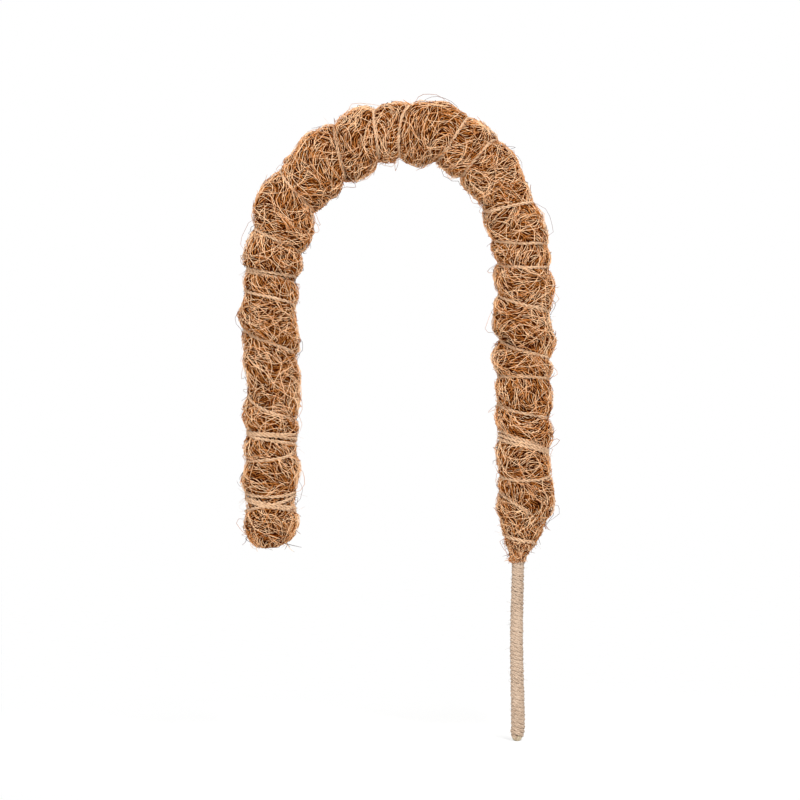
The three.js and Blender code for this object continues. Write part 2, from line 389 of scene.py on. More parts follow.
@dataclass(frozen=True)
class TwineFinish:
    """Pale jute yarn with streaks that follow its plies."""

    name: str = "jute_twine"
    shadow: Colour = (0.29, 0.200, 0.134)
    beige: Colour = (0.45, 0.327, 0.235)
    pale: Colour = (0.57, 0.437, 0.327)
    lengthwise: float = 0.35
    crosswise: float = 5.0
    streak_scale: float = 1.6
    stain_scale: float = 55.0

    def material(self) -> bpy.types.Material:
        """Makes the material from the ply's own lengthwise and crosswise places.

        Returns:
            The material.
        """
        graph = FinishGraph.named(self.name)
        where = graph.place()
        tone = graph.attribute("tone")
        lengthwise = graph.attribute("along") * self.lengthwise
        crosswise = graph.attribute("around") * self.crosswise
        lay = graph.node("ShaderNodeCombineXYZ", None, {"X": lengthwise, "Y": crosswise, "Z": tone})
        streaks = graph.noise(lay, self.streak_scale, 4.0, 0.6)
        stains = graph.noise(where, self.stain_scale)
        shade = streaks * 1.3 + stains * 0.35 + tone * 0.3 - 0.5
        stops = ((0.15, self.shadow), (0.45, self.beige), (0.85, self.pale))
        return graph.surface(
            {
                "Base Color": graph.ramp(shade, stops),
                "Roughness": 0.95 - streaks * 0.25,
                "Specular IOR Level": 0.2,
                "Sheen Weight": 0.15,
                "Normal": graph.bump(streaks, 0.6, 0.0004),
            }
        )


@dataclass(frozen=True)
class GlueFinish:
    """Dried glue soaked into the twine at the stake's end."""

    name: str = "glue_seal"
    olive: Colour = (0.26, 0.215, 0.125)
    amber: Colour = (0.43, 0.345, 0.220)
    pale: Colour = (0.57, 0.460, 0.325)
    cloud_scale: float = 260.0
    pit_scale: float = 1400.0

    def material(self) -> bpy.types.Material:
        """Makes the material: cloudy, with a soft gloss.

        Returns:
            The material.
        """
        graph = FinishGraph.named(self.name)
        where = graph.place()
        clouds = graph.noise(where, self.cloud_scale, 3.0)
        pits = graph.noise(where, self.pit_scale)
        stops = ((0.3, self.olive), (0.5, self.amber), (0.72, self.pale))
        return graph.surface(
            {
                "Base Color": graph.ramp(clouds, stops),
                "Roughness": 0.3 + pits * 0.35,
                "Coat Weight": clouds * 0.4,
                "Normal": graph.bump(pits + clouds * 0.5, 0.4, 0.0003),
            }
        )


@dataclass(frozen=True)
class WireFinish:
    """Soft galvanised wire with drawing marks and dull patches."""

    name: str = "galvanised_wire"
    dull: Colour = (0.22, 0.225, 0.23)
    bright: Colour = (0.52, 0.53, 0.54)
    mark_scale: float = 900.0
    patch_scale: float = 150.0

    def material(self) -> bpy.types.Material:
        """Makes the material: metal streaked along the wire.

        Returns:
            The material.
        """
        graph = FinishGraph.named(self.name)
        where = graph.place()
        marks = graph.noise(where, self.mark_scale, 3.0)
        patches = graph.noise(where, self.patch_scale)
        stops = ((0.3, self.dull), (0.7, self.bright))
        return graph.surface(
            {
                "Base Color": graph.ramp(marks * 0.5 + patches * 0.5, stops),
                "Metallic": 0.8 + patches * 0.2,
                "Roughness": 0.35 + patches * 0.3,
                "Normal": graph.bump(marks, 0.2, 0.0001),
            }
        )


@dataclass(frozen=True)
class FloorFinish:
    """A white studio floor that fades to plain white away from the pole and keeps its shadow."""

    name: str = "studio_floor"
    white: Colour = (0.93, 0.93, 0.92)
    lift: float = 0.72
    near: float = 0.12
    far: float = 0.6
    grain: float = 0.01
    grain_scale: float = 30.0

    def material(self) -> bpy.types.Material:
        """Makes the material: a diffuse floor that looks white from afar to the camera.

        Returns:
            The material.
        """
        graph = FinishGraph.named(self.name)
        where = graph.place()
        grain = graph.noise(where, self.grain_scale) - 0.5
        away = graph.node("ShaderNodeVectorMath", {"operation": "LENGTH"}, {0: where}, "Value")
        settings = {"interpolation_type": "SMOOTHSTEP"}
        fade = graph.node("ShaderNodeMapRange", settings, {0: away, 1: self.near, 2: self.far})
        paper = {"Color": self.white, "Roughness": 0.5}
        floor = graph.node("ShaderNodeBsdfDiffuse", None, paper)
        glow = graph.node("ShaderNodeEmission", None, {"Strength": 1.0})
        share = graph.looked_at() * (self.lift + fade * (1.0 - self.lift) + grain * self.grain)
        return graph.output(graph.node("ShaderNodeMixShader", None, {0: share, 1: floor, 2: glow}))


@dataclass(frozen=True)
class PoleAxis:
    """The pole's bent middle line, the same as in the CAD."""

    pole_length: float = 1000.0
    stake_length: float = 162.0
    lobe_bends: tuple[float, ...] = (
        -9, 9, 0, 0, 0, 0, 1, 15, 10, 20, 25, 20, 20, 15, 17, 18, 11, 9, 0, 0, 0, 0, 0, 0,
    )  # fmt: skip

    @property
    def lobe_length(self) -> float:
        """The length of one lobe of the CAD's sleeve."""
        return (self.pole_length - self.stake_length) / len(self.lobe_bends)

    def place_of(self, lobes: float) -> float:
        """The place along the pole that many lobes past the stake."""
        return self.stake_length + lobes * self.lobe_length

    def at(self, places: Array) -> tuple[Array, Array]:
        """Finds points of the middle line.

        Args:
            places: distances along the pole, of any shape.

        Returns:
            The points, and the directions that face out of the bend, each with a last axis of three.
        """
        bends = np.radians(self.lobe_bends)
        headings = np.concatenate([[0.0], np.cumsum(bends)])
        chords = self.lobe_length * np.sinc(bends / FULL_TURN)
        middles = headings[:-1] + bends / 2
        steps = np.stack([-np.sin(middles) * chords, np.cos(middles) * chords], axis=-1)
        foot = np.array([[0.0, self.stake_length]])
        starts = np.concatenate([foot, foot + np.cumsum(steps, axis=0)])
        along = (np.asarray(places, float) - self.stake_length) / self.lobe_length
        lobe = np.clip(np.floor(along), 0, len(bends) - 1).astype(int)
        share = along - lobe
        bend = np.where(share < 0, 0.0, bends[lobe] * share)
        chord = share * self.lobe_length * np.sinc(bend / FULL_TURN)
        middle = headings[lobe] + bend / 2
        heading = headings[lobe] + bend
        zero = np.zeros_like(chord)
        across = starts[lobe, 0] - np.sin(middle) * chord
        up = starts[lobe, 1] + np.cos(middle) * chord
        points = np.stack([across, zero, up], axis=-1)
        return points, np.stack([np.cos(heading), zero, np.sin(heading)], axis=-1)

    def around(self, places: Array, angles: Array, radii: Array) -> tuple[Array, Array]:
        """Finds points round the middle line.

        Args:
            places: distances along the pole.
            angles: turns from the back of the pole, by its outer side.
            radii: distances from the middle line.

        Returns:
            The points and the directions that they face.
        """
        points, out = self.at(places)
        rays = np.cos(angles)[..., None] * BACK + np.sin(angles)[..., None] * out
        return points + np.asarray(radii)[..., None] * rays, rays


@dataclass(frozen=True)
class Pass:
    """One crossing of the binding twine over the front of the sleeve.

    The places are where it goes over the outer and the inner side, swell is how far the coir beyond it
    stands above the pinch and peak the share of that lobe where it stands highest. Bow is how far the
    twine's middle lies past the straight line, and hidden the stretch, from the outer side to the inner,
    that coir covers.
    """

    outer: float
    inner: float
    swell: float
    bow: float = 0.0
    hidden: Numbers = (0.0, 0.0)
    peak: float = 0.5


@dataclass(frozen=True)
class TwineRoute:
    """The winding of the binding twine, read from the photograph pass by pass."""

    passes: tuple[Pass, ...] = (
        Pass(170.5, 177.5, 2.0),
        Pass(186, 217, 6.2, hidden=(-0.2, 0.5)),
        Pass(230.5, 229, 2.8, bow=-5.0),
        Pass(246.5, 262.5, 0.3),
        Pass(248, 266.5, 0.3),
        Pass(249.5, 270, 4.6),
        Pass(278, 291, 4.8, bow=-2.0),
        Pass(311.5, 314, 5.8, bow=1.5),
        Pass(328.5, 346, 5.8, bow=-1.0),
        Pass(369, 386, 5.8, bow=-1.5),
        Pass(408.5, 413, 4.8, bow=-3.0),
        Pass(425, 440, 4.8, bow=-4.0, peak=0.35),
        Pass(457.5, 467, 5.2, bow=-0.5, peak=0.78),
        Pass(513, 510.5, 7.3, bow=1.5),
        Pass(535.5, 546, 8.3, bow=-1.8),
        Pass(575, 587, 6.1, bow=5.0),
        Pass(602, 611, 8.3),
        Pass(632, 651, 7.2, peak=0.38),
        Pass(683, 698, 7.4, bow=2.0, hidden=(0.45, 0.75)),
        Pass(730, 743, 7.0, hidden=(0.5, 1.2), peak=0.65),
        Pass(763, 767, 0.4),
        Pass(764.5, 772, 4.8, hidden=(0.3, 1.2)),
        Pass(779.5, 794, 5.4, bow=-0.8, peak=0.7),
        Pass(812, 836, 2.8, bow=1.5, peak=0.25),
        Pass(868, 893, 4.6, bow=5.0, hidden=(0.62, 1.2)),
        Pass(900.5, 905, 0.4, bow=0.7),
        Pass(901.5, 909, 0.4),
        Pass(902.5, 914, 3.8, bow=1.0),
        Pass(926, 918, 4.0, bow=3.5),
        Pass(953, 953, 0.6, bow=4.5),
        Pass(956, 968.5, 0.4, bow=2.0),
        Pass(958, 971, 0.6, bow=2.0),
        Pass(970, 956, 4.8, bow=1.0),
    )
    smoothing: float = 0.7
    before: float = 42.0
    after: float = 60.0
    dive: float = 0.12
    least_lobe: float = 0.5
    steps_in_turn: int = 96

    @property
    def turns(self) -> int:
        """How many times the twine goes round."""
        return len(self.passes)

    def winding(self) -> tuple[Array, Array]:
        """Lays the twine out.

        Returns:
            The angle wound so far and the place along the pole, step by step.
        """
        count = self.turns * self.steps_in_turn
        angles = np.linspace(0.0, self.turns * FULL_TURN, count + 1)
        knots = [k * FULL_TURN + side * QUARTER for k in range(self.turns) for side in (1, 3)]
        places = [place for one in self.passes for place in (one.outer, one.inner)]
        straight = np.interp(angles, knots, places)
        bows = np.array([one.bow for one in self.passes])[self._turn(angles)]
        straight = straight + bows * np.maximum(-np.cos(angles), 0.0)
        reach = int(self.smoothing / FULL_TURN * self.steps_in_turn)
        window = np.hanning(2 * reach + 3)[1:-1]
        padded = np.pad(straight, reach, mode="edge")
        return angles, np.convolve(padded, window / window.sum(), mode="valid")

    def covered(self, angles: Array) -> Array:
        """Finds how far the coir covers the twine.

        Args:
            angles: the angles wound so far.

        Returns:
            The cover, from 0 to 1.
        """
        turn = self._turn(angles)
        start, end = np.array([one.hidden for one in self.passes])[turn].T
        share = (angles - turn * FULL_TURN - QUARTER) / math.pi
        inside = np.minimum(share - start, end - share) / self.dive
        return np.where(end > start, np.clip(inside, 0.0, 1.0), 0.0)

    def stations(self, angles: Array) -> Array:
        """Finds where the twine goes by.

        Args:
            angles: angles round the pole, from the back.

        Returns:
            The places of all turns in rising order on the first axis, with one before the first turn and one
            after the last, which lie past the ends.
        """
        wound, places = self.winding()
        turns = np.arange(-1, self.turns + 1).reshape(-1, *([1] * np.ndim(angles)))
        total = turns * FULL_TURN + angles
        past = np.where(total >= wound[-1], self.after, 0.0) - np.where(total < wound[0], self.before, 0.0)
        return np.sort(np.interp(total, wound, places) + past, axis=0)

    def lobe(self, places: Array, angles: Array) -> Array:
        """The number of the lobe that each place lies in, from 0 for the neck."""
        passed = (self.stations(np.mod(angles, FULL_TURN)) <= places).sum(axis=0) - 1
        return np.clip(passed, 0, self.turns)

    def lobe_ends(self, lobes: Array, angles: Array) -> tuple[Array, Array]:
        """Finds where lobes lie.

        Args:
            lobes: the lobes' numbers.
            angles: angles round the pole, from the back.

        Returns:
            The places where the lobes start, and their lengths.
        """
        stations = self.stations(angles)
        lobes = np.broadcast_to(lobes, np.shape(angles))[None]
        low = np.take_along_axis(stations, lobes, axis=0)[0]
        high = np.take_along_axis(stations, lobes + 1, axis=0)[0]
        return low, np.maximum(high - low, self.least_lobe)

    def _turn(self, angles: Array) -> Array:
        """The number of the turn that each wound angle belongs to."""
        return np.clip(np.floor(angles / FULL_TURN), 0, self.turns - 1).astype(int)


@dataclass(frozen=True)
class SleeveForm:
    """The outside of the coir sleeve: pinched under the twine, full between, closed at both ends."""

    route: TwineRoute
    pinch_radius: float = 19.8
    fullness: float = 0.65
    full_gap: float = 30.0
    gap_power: float = 0.8
    neck: tuple[Numbers, ...] = (
        (154, 5.0), (159, 5.6), (164, 7.4), (168, 10.2), (171, 11.8), (175, 12.8),
        (178, 15.0), (183, 17.4), (190, 18.4), (195, 20.5), (199, 25.0), (204, 40.0),
    )  # fmt: skip
    lean: tuple[Numbers, ...] = (
        (158, 1.5), (166, 2.6), (180, 4.0), (200, 1.2), (226, 1.8), (246, 0.0), (440, 0.2), (475, -0.8),
        (545, 1.2), (640, -0.4), (704, 1.2), (728, -1.2), (810, 1.2), (846, 0.4), (868, -1.8), (904, 0.5),
        (945, 2.5), (1000, 2.5),
    )  # fmt: skip
    lean_from: float = 8.0
    dome_start: float = 968.0
    dome_radius: float = 23.6
    dome_tilt: float = 2.0
    dome_power: int = 3
    end: float = 1002.5
    lumps_at: tuple[Waves, ...] = (Waves((22.0, 80.0), 0.35, 4), Waves((9.0, 22.0), 0.22, 9))
    lump_swell: float = 4.0
    lump_waves: int = 8
    seed: int = 11

    def lumps(self, places: Array, angles: Array) -> Array:
        """The uneven swelling of the hand-packed coir."""
        return Waves.summed(self.lumps_at, self.lump_waves, self.seed, places, angles)

    def radius(self, places: Array, angles: Array) -> Array:
        """Finds the sleeve's radius.

        Args:
            places: distances along the pole.
            angles: angles round it.

        Returns:
            The radii, of the same shape.
        """
        lobe = self.route.lobe(places, angles)
        low, gap = self.route.lobe_ends(lobe, np.mod(angles, FULL_TURN))
        peaks = np.array([0.5, *(one.peak for one in self.route.passes)])[lobe]
        share = np.clip((places - low) / gap, 0.0, 1.0) ** (math.log(0.5) / np.log(peaks))
        swells = np.array([0.0, *(one.swell for one in self.route.passes)])[lobe]
        swells = swells * np.minimum(gap / self.full_gap, 1.0) ** self.gap_power
        full = self.pinch_radius + swells * (4.0 * share * (1.0 - share)) ** self.fullness
        full = full + self.lumps(places, angles) * np.minimum(swells / self.lump_swell, 1.0)
        neck_places, neck_radii = np.array(self.neck).T
        reach = self.end + self.dome_tilt * np.sin(angles) - self.dome_start
        past = np.clip((places - self.dome_start) / reach, 0.0, 1.0)
        dome = np.where(past > 0, self.dome_radius * np.sqrt(1.0 - past**self.dome_power), np.inf)
        round_radius = np.minimum(np.minimum(full, np.interp(places, neck_places, neck_radii)), dome)
        lean = np.interp(places, *np.array(self.lean).T) * np.minimum(round_radius / self.lean_from, 1.0)
        return round_radius + lean * np.sin(angles)


@dataclass(frozen=True)
class Span:
    """A length of the pole that is dressed in one go, round one joint or at one end with one body."""

    name: str
    low: float
    high: float
    bodies: tuple[str, ...]
    joint: float = 0.0
    reach: float = 0.0

    def carry(self, piece: bpy.types.Object, axis: PoleAxis) -> None:
        """Attaches a finished piece to the span's body where there is only one; a piece over a joint is left
        unattached, with its place baked in.

        Args:
            piece: the piece.
            axis: the pole's middle line; not used.
        """
        if len(self.bodies) == 1:
            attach(piece, self.bodies[0])
            return
        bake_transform(piece)


@dataclass(frozen=True)
class Sections:
    """The CAD's bending sections, by the lobe that each starts at."""

    axis: PoleAxis
    starts: tuple[tuple[str, int], ...] = (
        ("stake", 0), ("leg_low", 3), ("leg_high", 5), ("arch_01", 7), ("arch_02", 8), ("arch_03", 9),
        ("arch_04", 10), ("arch_05", 11), ("arch_06", 12), ("arch_07", 13), ("arch_08", 14), ("arch_09", 15),
        ("arch_10", 16), ("drop_high", 17), ("drop_low", 19), ("tip", 21),
    )  # fmt: skip
    blend_share: float = 0.36
    beyond: float = 60.0

    def names(self) -> list[str]:
        """The sections' names, which are also the bodies'."""
        return [name for name, _ in self.starts]

    def spans(self) -> list[Span]:
        """Cuts the pole in the middle of each section.

        Returns:
            One span round each joint, and one at each end of the pole.
        """
        lobes = [first for _, first in self.starts] + [len(self.axis.lobe_bends)]
        lengths = [(b - a) * self.axis.lobe_length for a, b in zip(lobes, lobes[1:])]
        cuts = [self.axis.place_of((a + b) / 2) for a, b in zip(lobes, lobes[1:])]
        names = self.names()
        made = [Span("neck", self.axis.stake_length - self.beyond, cuts[0], (names[0],))]
        for index in range(1, len(names)):
            reach = self.blend_share * min(lengths[index - 1], lengths[index])
            bodies = (names[index - 1], names[index])
            joint = self.axis.place_of(lobes[index])
            made.append(Span(names[index], cuts[index - 1], cuts[index], bodies, joint, reach))
        made.append(Span("end", cuts[-1], self.axis.pole_length + self.beyond, (names[-1],)))
        return made


@dataclass
class Strands:
    """Round strands with equal numbers of points, in millimetres."""

    points: Array
    ups: Array
    radii: Array
    tones: Array
    sides: int = 3
    offsets: Array = field(default_factory=lambda: np.zeros(0))

    def chosen(self, keep: Array) -> "Strands":
        """The strands that a mask or list of numbers picks."""
        return Strands(self.points[keep], self.ups[keep], self.radii[keep], self.tones[keep], self.sides)

    @staticmethod
    def joined(parts: Sequence["Strands"]) -> "Strands":
        """Puts strands together.

        Args:
            parts: sets of strands with the same numbers of points and sides.

        Returns:
            All strands in one set.
        """
        keys = ("points", "ups", "radii", "tones")
        arrays = [np.concatenate([getattr(part, key) for part in parts]) for key in keys]
        return Strands(*arrays, parts[0].sides, np.concatenate([part.offsets for part in parts]))

    def skin(self) -> tuple[Array, Array, Array]:
        """Wraps each strand in a closed skin.

        Returns:
            The corner points, the quads and the caps' corners.
        """
        count, steps, _ = self.points.shape
        forward = unit(np.gradient(self.points, axis=1))
        side = unit(np.cross(forward, self.ups))
        top = np.cross(side, forward)
        turns = np.arange(self.sides)[:, None] * FULL_TURN / self.sides
        across = top[:, :, None] * np.cos(turns) - side[:, :, None] * np.sin(turns)
        corners = self.points[:, :, None] + across * self.radii[:, :, None, None]
        base = (np.arange(count)[:, None, None] * steps + np.arange(steps - 1)[:, None]) * self.sides
        here = np.arange(self.sides)
        after = (here + 1) % self.sides
        quads = [base + here, base + after, base + self.sides + after, base + self.sides + here]
        quads = np.stack(quads, axis=-1)
        foot = np.arange(count)[:, None] * steps * self.sides
        caps = np.concatenate([foot + here[::-1], foot + (steps - 1) * self.sides + here])
        return corners.reshape(-1, 3), quads.reshape(-1, 4), caps


class PieceMaker:
    """Turns arrays into named Blender pieces.

    On its map for baking a strand has a strip that is a few times as long as wide, with a margin.
    """

    STRIP_SHAPE = 10.0
    END_MARGIN = 0.03
    SIDE_MARGIN = 0.08
    SAME_POINT = 1e-7

    @staticmethod
    def strands(name: str, strands: Strands, material: bpy.types.Material) -> bpy.types.Object:
        """Makes one piece of many strands.

        Args:
            name: the piece's name.
            strands: what it is made of.
            material: its finish, which may read the attributes tone, along and around.

        Returns:
            The new object.
        """
        corners, quads, caps = strands.skin()
        mesh = bpy.data.meshes.new(name)
        mesh.vertices.add(len(corners))
        mesh.vertices.foreach_set("co", (corners * MM).astype(np.float32).ravel())
        loops = np.concatenate([quads.ravel(), caps.ravel()])
        mesh.loops.add(len(loops))
        mesh.loops.foreach_set("vertex_index", loops.astype(np.int32))
        mesh.polygons.add(len(quads) + len(caps))
        caps_at = len(quads) * 4 + np.arange(len(caps)) * strands.sides
        starts = np.concatenate([np.arange(len(quads)) * 4, caps_at])
        mesh.polygons.foreach_set("loop_start", starts.astype(np.int32))
        mesh.update(calc_edges=True)
        mesh.polygons.foreach_set("use_smooth", np.ones(len(mesh.polygons), bool))
        count, steps, _ = strands.points.shape
        around = 0.5 + 0.5 * np.cos(FULL_TURN * np.arange(strands.sides) / strands.sides)
        values = {
            "tone": np.repeat(strands.tones, steps * strands.sides),
            "along": np.repeat(travelled(strands.points).ravel(), strands.sides),
            "around": np.tile(around, count * steps),
        }
        for key, value in values.items():
            mesh.attributes.new(key, "FLOAT", "POINT").data.foreach_set("value", value.astype(np.float32))
        PieceMaker._lay_out(mesh, strands)
        mesh.materials.append(material)
        piece = bpy.data.objects.new(name, mesh)
        bpy.context.scene.collection.objects.link(piece)
        return piece

    @staticmethod
    def _lay_out(mesh: bpy.types.Mesh, strands: Strands) -> None:
        """Gives each strand its own strip of a map, for baking.

        Args:
            mesh: the strands' mesh.
            strands: what it is made of.
        """
        count, steps, _ = strands.points.shape
        columns = max(1, round(math.sqrt(count / PieceMaker.STRIP_SHAPE)))
        rows = math.ceil(count / columns)
        strip = np.arange(count)
        left = (strip % columns) / columns
        low = (strip // columns) / rows
        run = np.linspace(PieceMaker.END_MARGIN, 1.0 - PieceMaker.END_MARGIN, steps)
        wide = np.linspace(PieceMaker.SIDE_MARGIN, 1.0 - PieceMaker.SIDE_MARGIN, strands.sides + 1)
        u = left[:, None] + run / columns
        v = low[:, None] + wide / rows
        near, far = u[:, :-1, None], u[:, 1:, None]
        below, above = v[:, None, :-1], v[:, None, 1:]
        corners = [(near, below), (near, above), (far, above), (far, below)]
        quads = np.stack([np.stack(np.broadcast_arrays(a, b), axis=-1) for a, b in corners], axis=3)
        ends = np.concatenate([np.stack([u[:, end], v[:, 0]], axis=-1) for end in (0, -1)])
        ends = np.repeat(ends[:, None], strands.sides, axis=1)
        flat = np.concatenate([quads.reshape(-1, 2), ends.reshape(-1, 2)])
        layer = mesh.uv_layers.new(name=BAKE_MAP)
        layer.uv.foreach_set("vector", flat.astype(np.float32).ravel())

    @staticmethod
    def wrapped(name: str, rings: Array, material: bpy.types.Material) -> bpy.types.Object:
        """Wraps a grid into a closed skin through rings of points.

        Args:
            name: the piece's name.
            rings: the points in millimetres, ring by ring.
            material: its finish.

        Returns:
            The new object.
        """
        count, sides, _ = rings.shape
        bpy.ops.object.select_all(action="DESELECT")
        bpy.ops.mesh.primitive_grid_add(x_subdivisions=sides, y_subdivisions=count - 1, size=1.0)
        piece = bpy.context.object
        piece.name = name
        piece.data.name = name
        flat = np.empty(len(piece.data.vertices) * 3, np.float32)
        piece.data.vertices.foreach_get("co", flat)
        grid = flat.reshape(-1, 3)
        side = np.round((grid[:, 0] + 0.5) * sides).astype(int) % sides
        ring = np.round((grid[:, 1] + 0.5) * (count - 1)).astype(int)
        piece.data.vertices.foreach_set("co", (rings[ring, side] * MM).astype(np.float32).ravel())
        bpy.ops.object.mode_set(mode="EDIT")
        bpy.ops.mesh.select_all(action="SELECT")
        bpy.ops.mesh.remove_doubles(threshold=PieceMaker.SAME_POINT)
        bpy.ops.mesh.select_all(action="DESELECT")
        bpy.ops.mesh.select_non_manifold()
        bpy.ops.mesh.fill_holes(sides=0)
        PieceMaker.complete(piece, material)
        return piece

    @staticmethod
    def complete(piece: bpy.types.Object, material: bpy.types.Material) -> None:
        """Leaves edit mode with all faces turned outwards, smooth and dressed.

        Args:
            piece: the piece in edit mode.
            material: its finish.
        """
        bpy.ops.mesh.select_all(action="SELECT")
        bpy.ops.mesh.normals_make_consistent(inside=False)
        bpy.ops.object.mode_set(mode="OBJECT")
        bpy.ops.object.shade_smooth()
        piece.data.materials.clear()
        piece.data.materials.append(material)


@dataclass(frozen=True)
class CombedLayer:
    """One layer of the sleeve: fibres side by side along the lay, at least a gap apart.

    Turn is how far its lay is turned from the sleeve's, and bed says whether the twine's bed is left clear.
    """

    gap: float
    length: Numbers
    width: Numbers
    height: Numbers
    tone: Numbers
    turn: float
    bed: bool = False


@dataclass(frozen=True)
class LooseKind:
    """One sort of fibre that lies or stands singly: how many, and what their sizes are drawn from.

    An arched one is lifted in its middle, any other at its far end. Curl is the radius of its bend, bound
    the share that the twine keeps inside their lobe, and tuck how far both ends are pressed in.
    """

    count: int
    length: Numbers
    width: Numbers
    curl: Numbers
    height: Numbers
    tone: Numbers
    bound: float
    lift: Numbers = (0.0, 0.0)
    tuck: float = 0.0
    arched: bool = False


@dataclass(frozen=True)
class Fringe:
    """Frayed ends that hang from the sleeve's lower end: how many, from where, how far and how wide."""

    count: int
    top: Numbers
    drop: Numbers
    flare: float
    width: Numbers
    tone: Numbers
    angle: Numbers = (0.0, FULL_TURN)
    sway: float = 4.0
    least_radius: float = 5.5
    clear: float = 0.3
    most_flare: float = 7.0
    flare_power: float = 1.6
    wave: float = 0.4
    wave_turns: Numbers = (4.0, 11.0)


@dataclass(frozen=True)
class Tuft:
    """The loose curls round the sleeve's closed end: how many, from where, which way and how far."""

    count: int = 130
    start: Numbers = (974.0, 994.0)
    middle: float = 0.7 * math.pi
    spread: float = 1.1
    turn: float = 0.9
    root: Numbers = (0.5, 1.02)
    reach: Numbers = (6.0, 17.0)
    slowing: float = 0.25
    beyond: float = 8.0
    curl: float = 5.0
    wave: float = 0.8
    wave_turns: float = 5.0
    width: Numbers = (0.35, 0.65)
    tone: Numbers = (-0.2, 1.0)


FibreSort = Union[CombedLayer, LooseKind, Fringe, Tuft]


@dataclass
class CoirSleeve:
    """The coir sleeve: a pressed mat under layers of loose curling fibre."""

    axis: PoleAxis
    form: SleeveForm
    spans: list[Span]
    mat_depth: float = 2.4
    mat_sides: int = 72
    mat_step: float = 2.0
    mat_grain: float = 0.45
    mat_least_radius: float = 2.6
    first: float = 154.0
    last: float = 1001.5
    low_margin: float = 3.0
    high_margin: float = 1.0
    flat_radius: float = 23.5
    slant: float = 0.5
    swirls: tuple[Waves, ...] = (Waves((36.0, 120.0), 0.36, 3), Waves((18.0, 45.0), 0.18, 6))
    swirl_waves: int = 6
    cell: float = 0.45
    pace: float = 2.0
    first_traces: int = 2500
    least_trace: int = 4
    close_share: float = 0.6
    bed_reach: float = 1.0
    stray: float = 0.2
    fibre_steps: int = 8
    taper: float = 0.5
    loose_taper: float = 0.55
    crimp: float = 0.2
    crimp_rise: float = 0.25
    crimp_length: float = 1.1
    crimp_spread: Numbers = (0.8, 1.5)
    end_dip: float = 0.6
    drift: float = 0.0016
    wave: float = 0.32
    wave_length: Numbers = (1.2, 2.4)
    mess: float = 1.1
    easy: float = 0.75
    seed: int = 4
    layers: tuple[CombedLayer, ...] = (
        # The two lower layers have low tones: painted shade that shows in the gaps between the top layer's
        # fibres.
        CombedLayer(
            gap=1.3, length=(8, 18), width=(0.75, 1.0), height=(-2.2, -1.5), tone=(-0.25, 0.05), turn=1.3,
        ),
        CombedLayer(
            gap=1.2, length=(8, 19), width=(0.5, 0.66), height=(-1.4, -0.8), tone=(-0.2, 0.2), turn=-0.8,
        ),
        CombedLayer(
            gap=1.3, length=(10, 30), width=(0.52, 0.7), height=(-0.3, 0.5), tone=(0.48, 1.12), turn=0.0,
            bed=True,
        ),
    )  # fmt: skip
    kinds: tuple[LooseKind, ...] = (
        LooseKind(
            count=500, length=(12, 28), width=(0.5, 0.75), curl=(6, 40), height=(0.3, 0.8),
            tone=(0.75, 1.15), bound=0.9, tuck=0.8,
        ),
        LooseKind(
            count=1500, length=(3, 10), width=(0.45, 0.75), curl=(3, 10), height=(0.0, 0.7),
            tone=(0.2, 0.9), bound=0.8, lift=(0.4, 2.2),
        ),
        # Short dark strays: real loose fibres, whose near-black tones are painted shade that darkens the
        # outline and the gaps.
        LooseKind(
            count=2900, length=(3, 7), width=(0.4, 0.6), curl=(3, 10), height=(-0.2, 0.6),
            tone=(-0.3, 0.25), bound=0.8, lift=(0.4, 2.0),
        ),
        LooseKind(
            count=420, length=(9, 22), width=(0.35, 0.6), curl=(3, 10), height=(0.0, 0.7),
            tone=(-0.2, 0.7), bound=0.7, lift=(1.5, 4.6),
        ),
        LooseKind(
            count=2600, length=(18, 46), width=(0.42, 0.56), curl=(10, 50), height=(0.0, 0.6),
            tone=(0.6, 1.25), bound=0.97, lift=(0.2, 1.8), tuck=1.2, arched=True,
        ),
        LooseKind(
            count=150, length=(24, 48), width=(0.3, 0.45), curl=(10, 28), height=(0.0, 0.6),
            tone=(-0.1, 0.8), bound=0.3, lift=(2.5, 8.0), tuck=1.5, arched=True,
        ),
    )  # fmt: skip
    fringes: tuple[Fringe, ...] = (
        Fringe(count=480, top=(158, 175), drop=(2, 6), flare=0.9, width=(0.5, 0.8), tone=(0.3, 1.3)),
        Fringe(count=330, top=(157, 174), drop=(2, 5), flare=1.1, width=(0.4, 0.6), tone=(-0.3, 0.15)),
        Fringe(
            count=9, top=(192, 198), drop=(6, 11), flare=4.0, width=(0.5, 0.8), tone=(0.0, 0.5),
            angle=(0.4 * math.pi, 0.6 * math.pi),
        ),
        Fringe(
            count=14, top=(172, 182), drop=(6, 13), flare=3.2, width=(0.5, 0.9), tone=(-0.1, 0.6),
            angle=(0.3 * math.pi, 0.7 * math.pi),
        ),
    )  # fmt: skip
    tuft: Tuft = Tuft()

    def build(self) -> list[bpy.types.Object]:
        """Makes and dresses the mat and the fibres of every span.

        Returns:
            The new pieces.
        """
        mat = MatFinish().material()
        fibre = FibreFinish().material()
        fibres = self.fibres()
        LOG.info("%d loose fibres", len(fibres.points))
        made = []
        for span in self.spans:
            inside = (fibres.offsets >= span.low) & (fibres.offsets < span.high)
            strands = fibres.chosen(inside)
            pieces = [self._mat(span, mat), PieceMaker.strands("coir_fibre_" + span.name, strands, fibre)]
            for piece in pieces:
                span.carry(piece, self.axis)
            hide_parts("coir_" + span.bodies[-1])
            made.extend(pieces)
        return made

    def fibres(self) -> Strands:
        """Draws all loose fibres.

        Returns:
            The fibres, with the places of their middles in offsets.
        """
        draw = np.random.default_rng(self.seed)
        made = [self._combed(layer, draw) for layer in self.layers]
        made += [self._loose(kind, draw) for kind in self.kinds]
        made += [self._fringe(fringe, draw) for fringe in self.fringes]
        return Strands.joined([*made, self._curls(self.tuft, draw)])

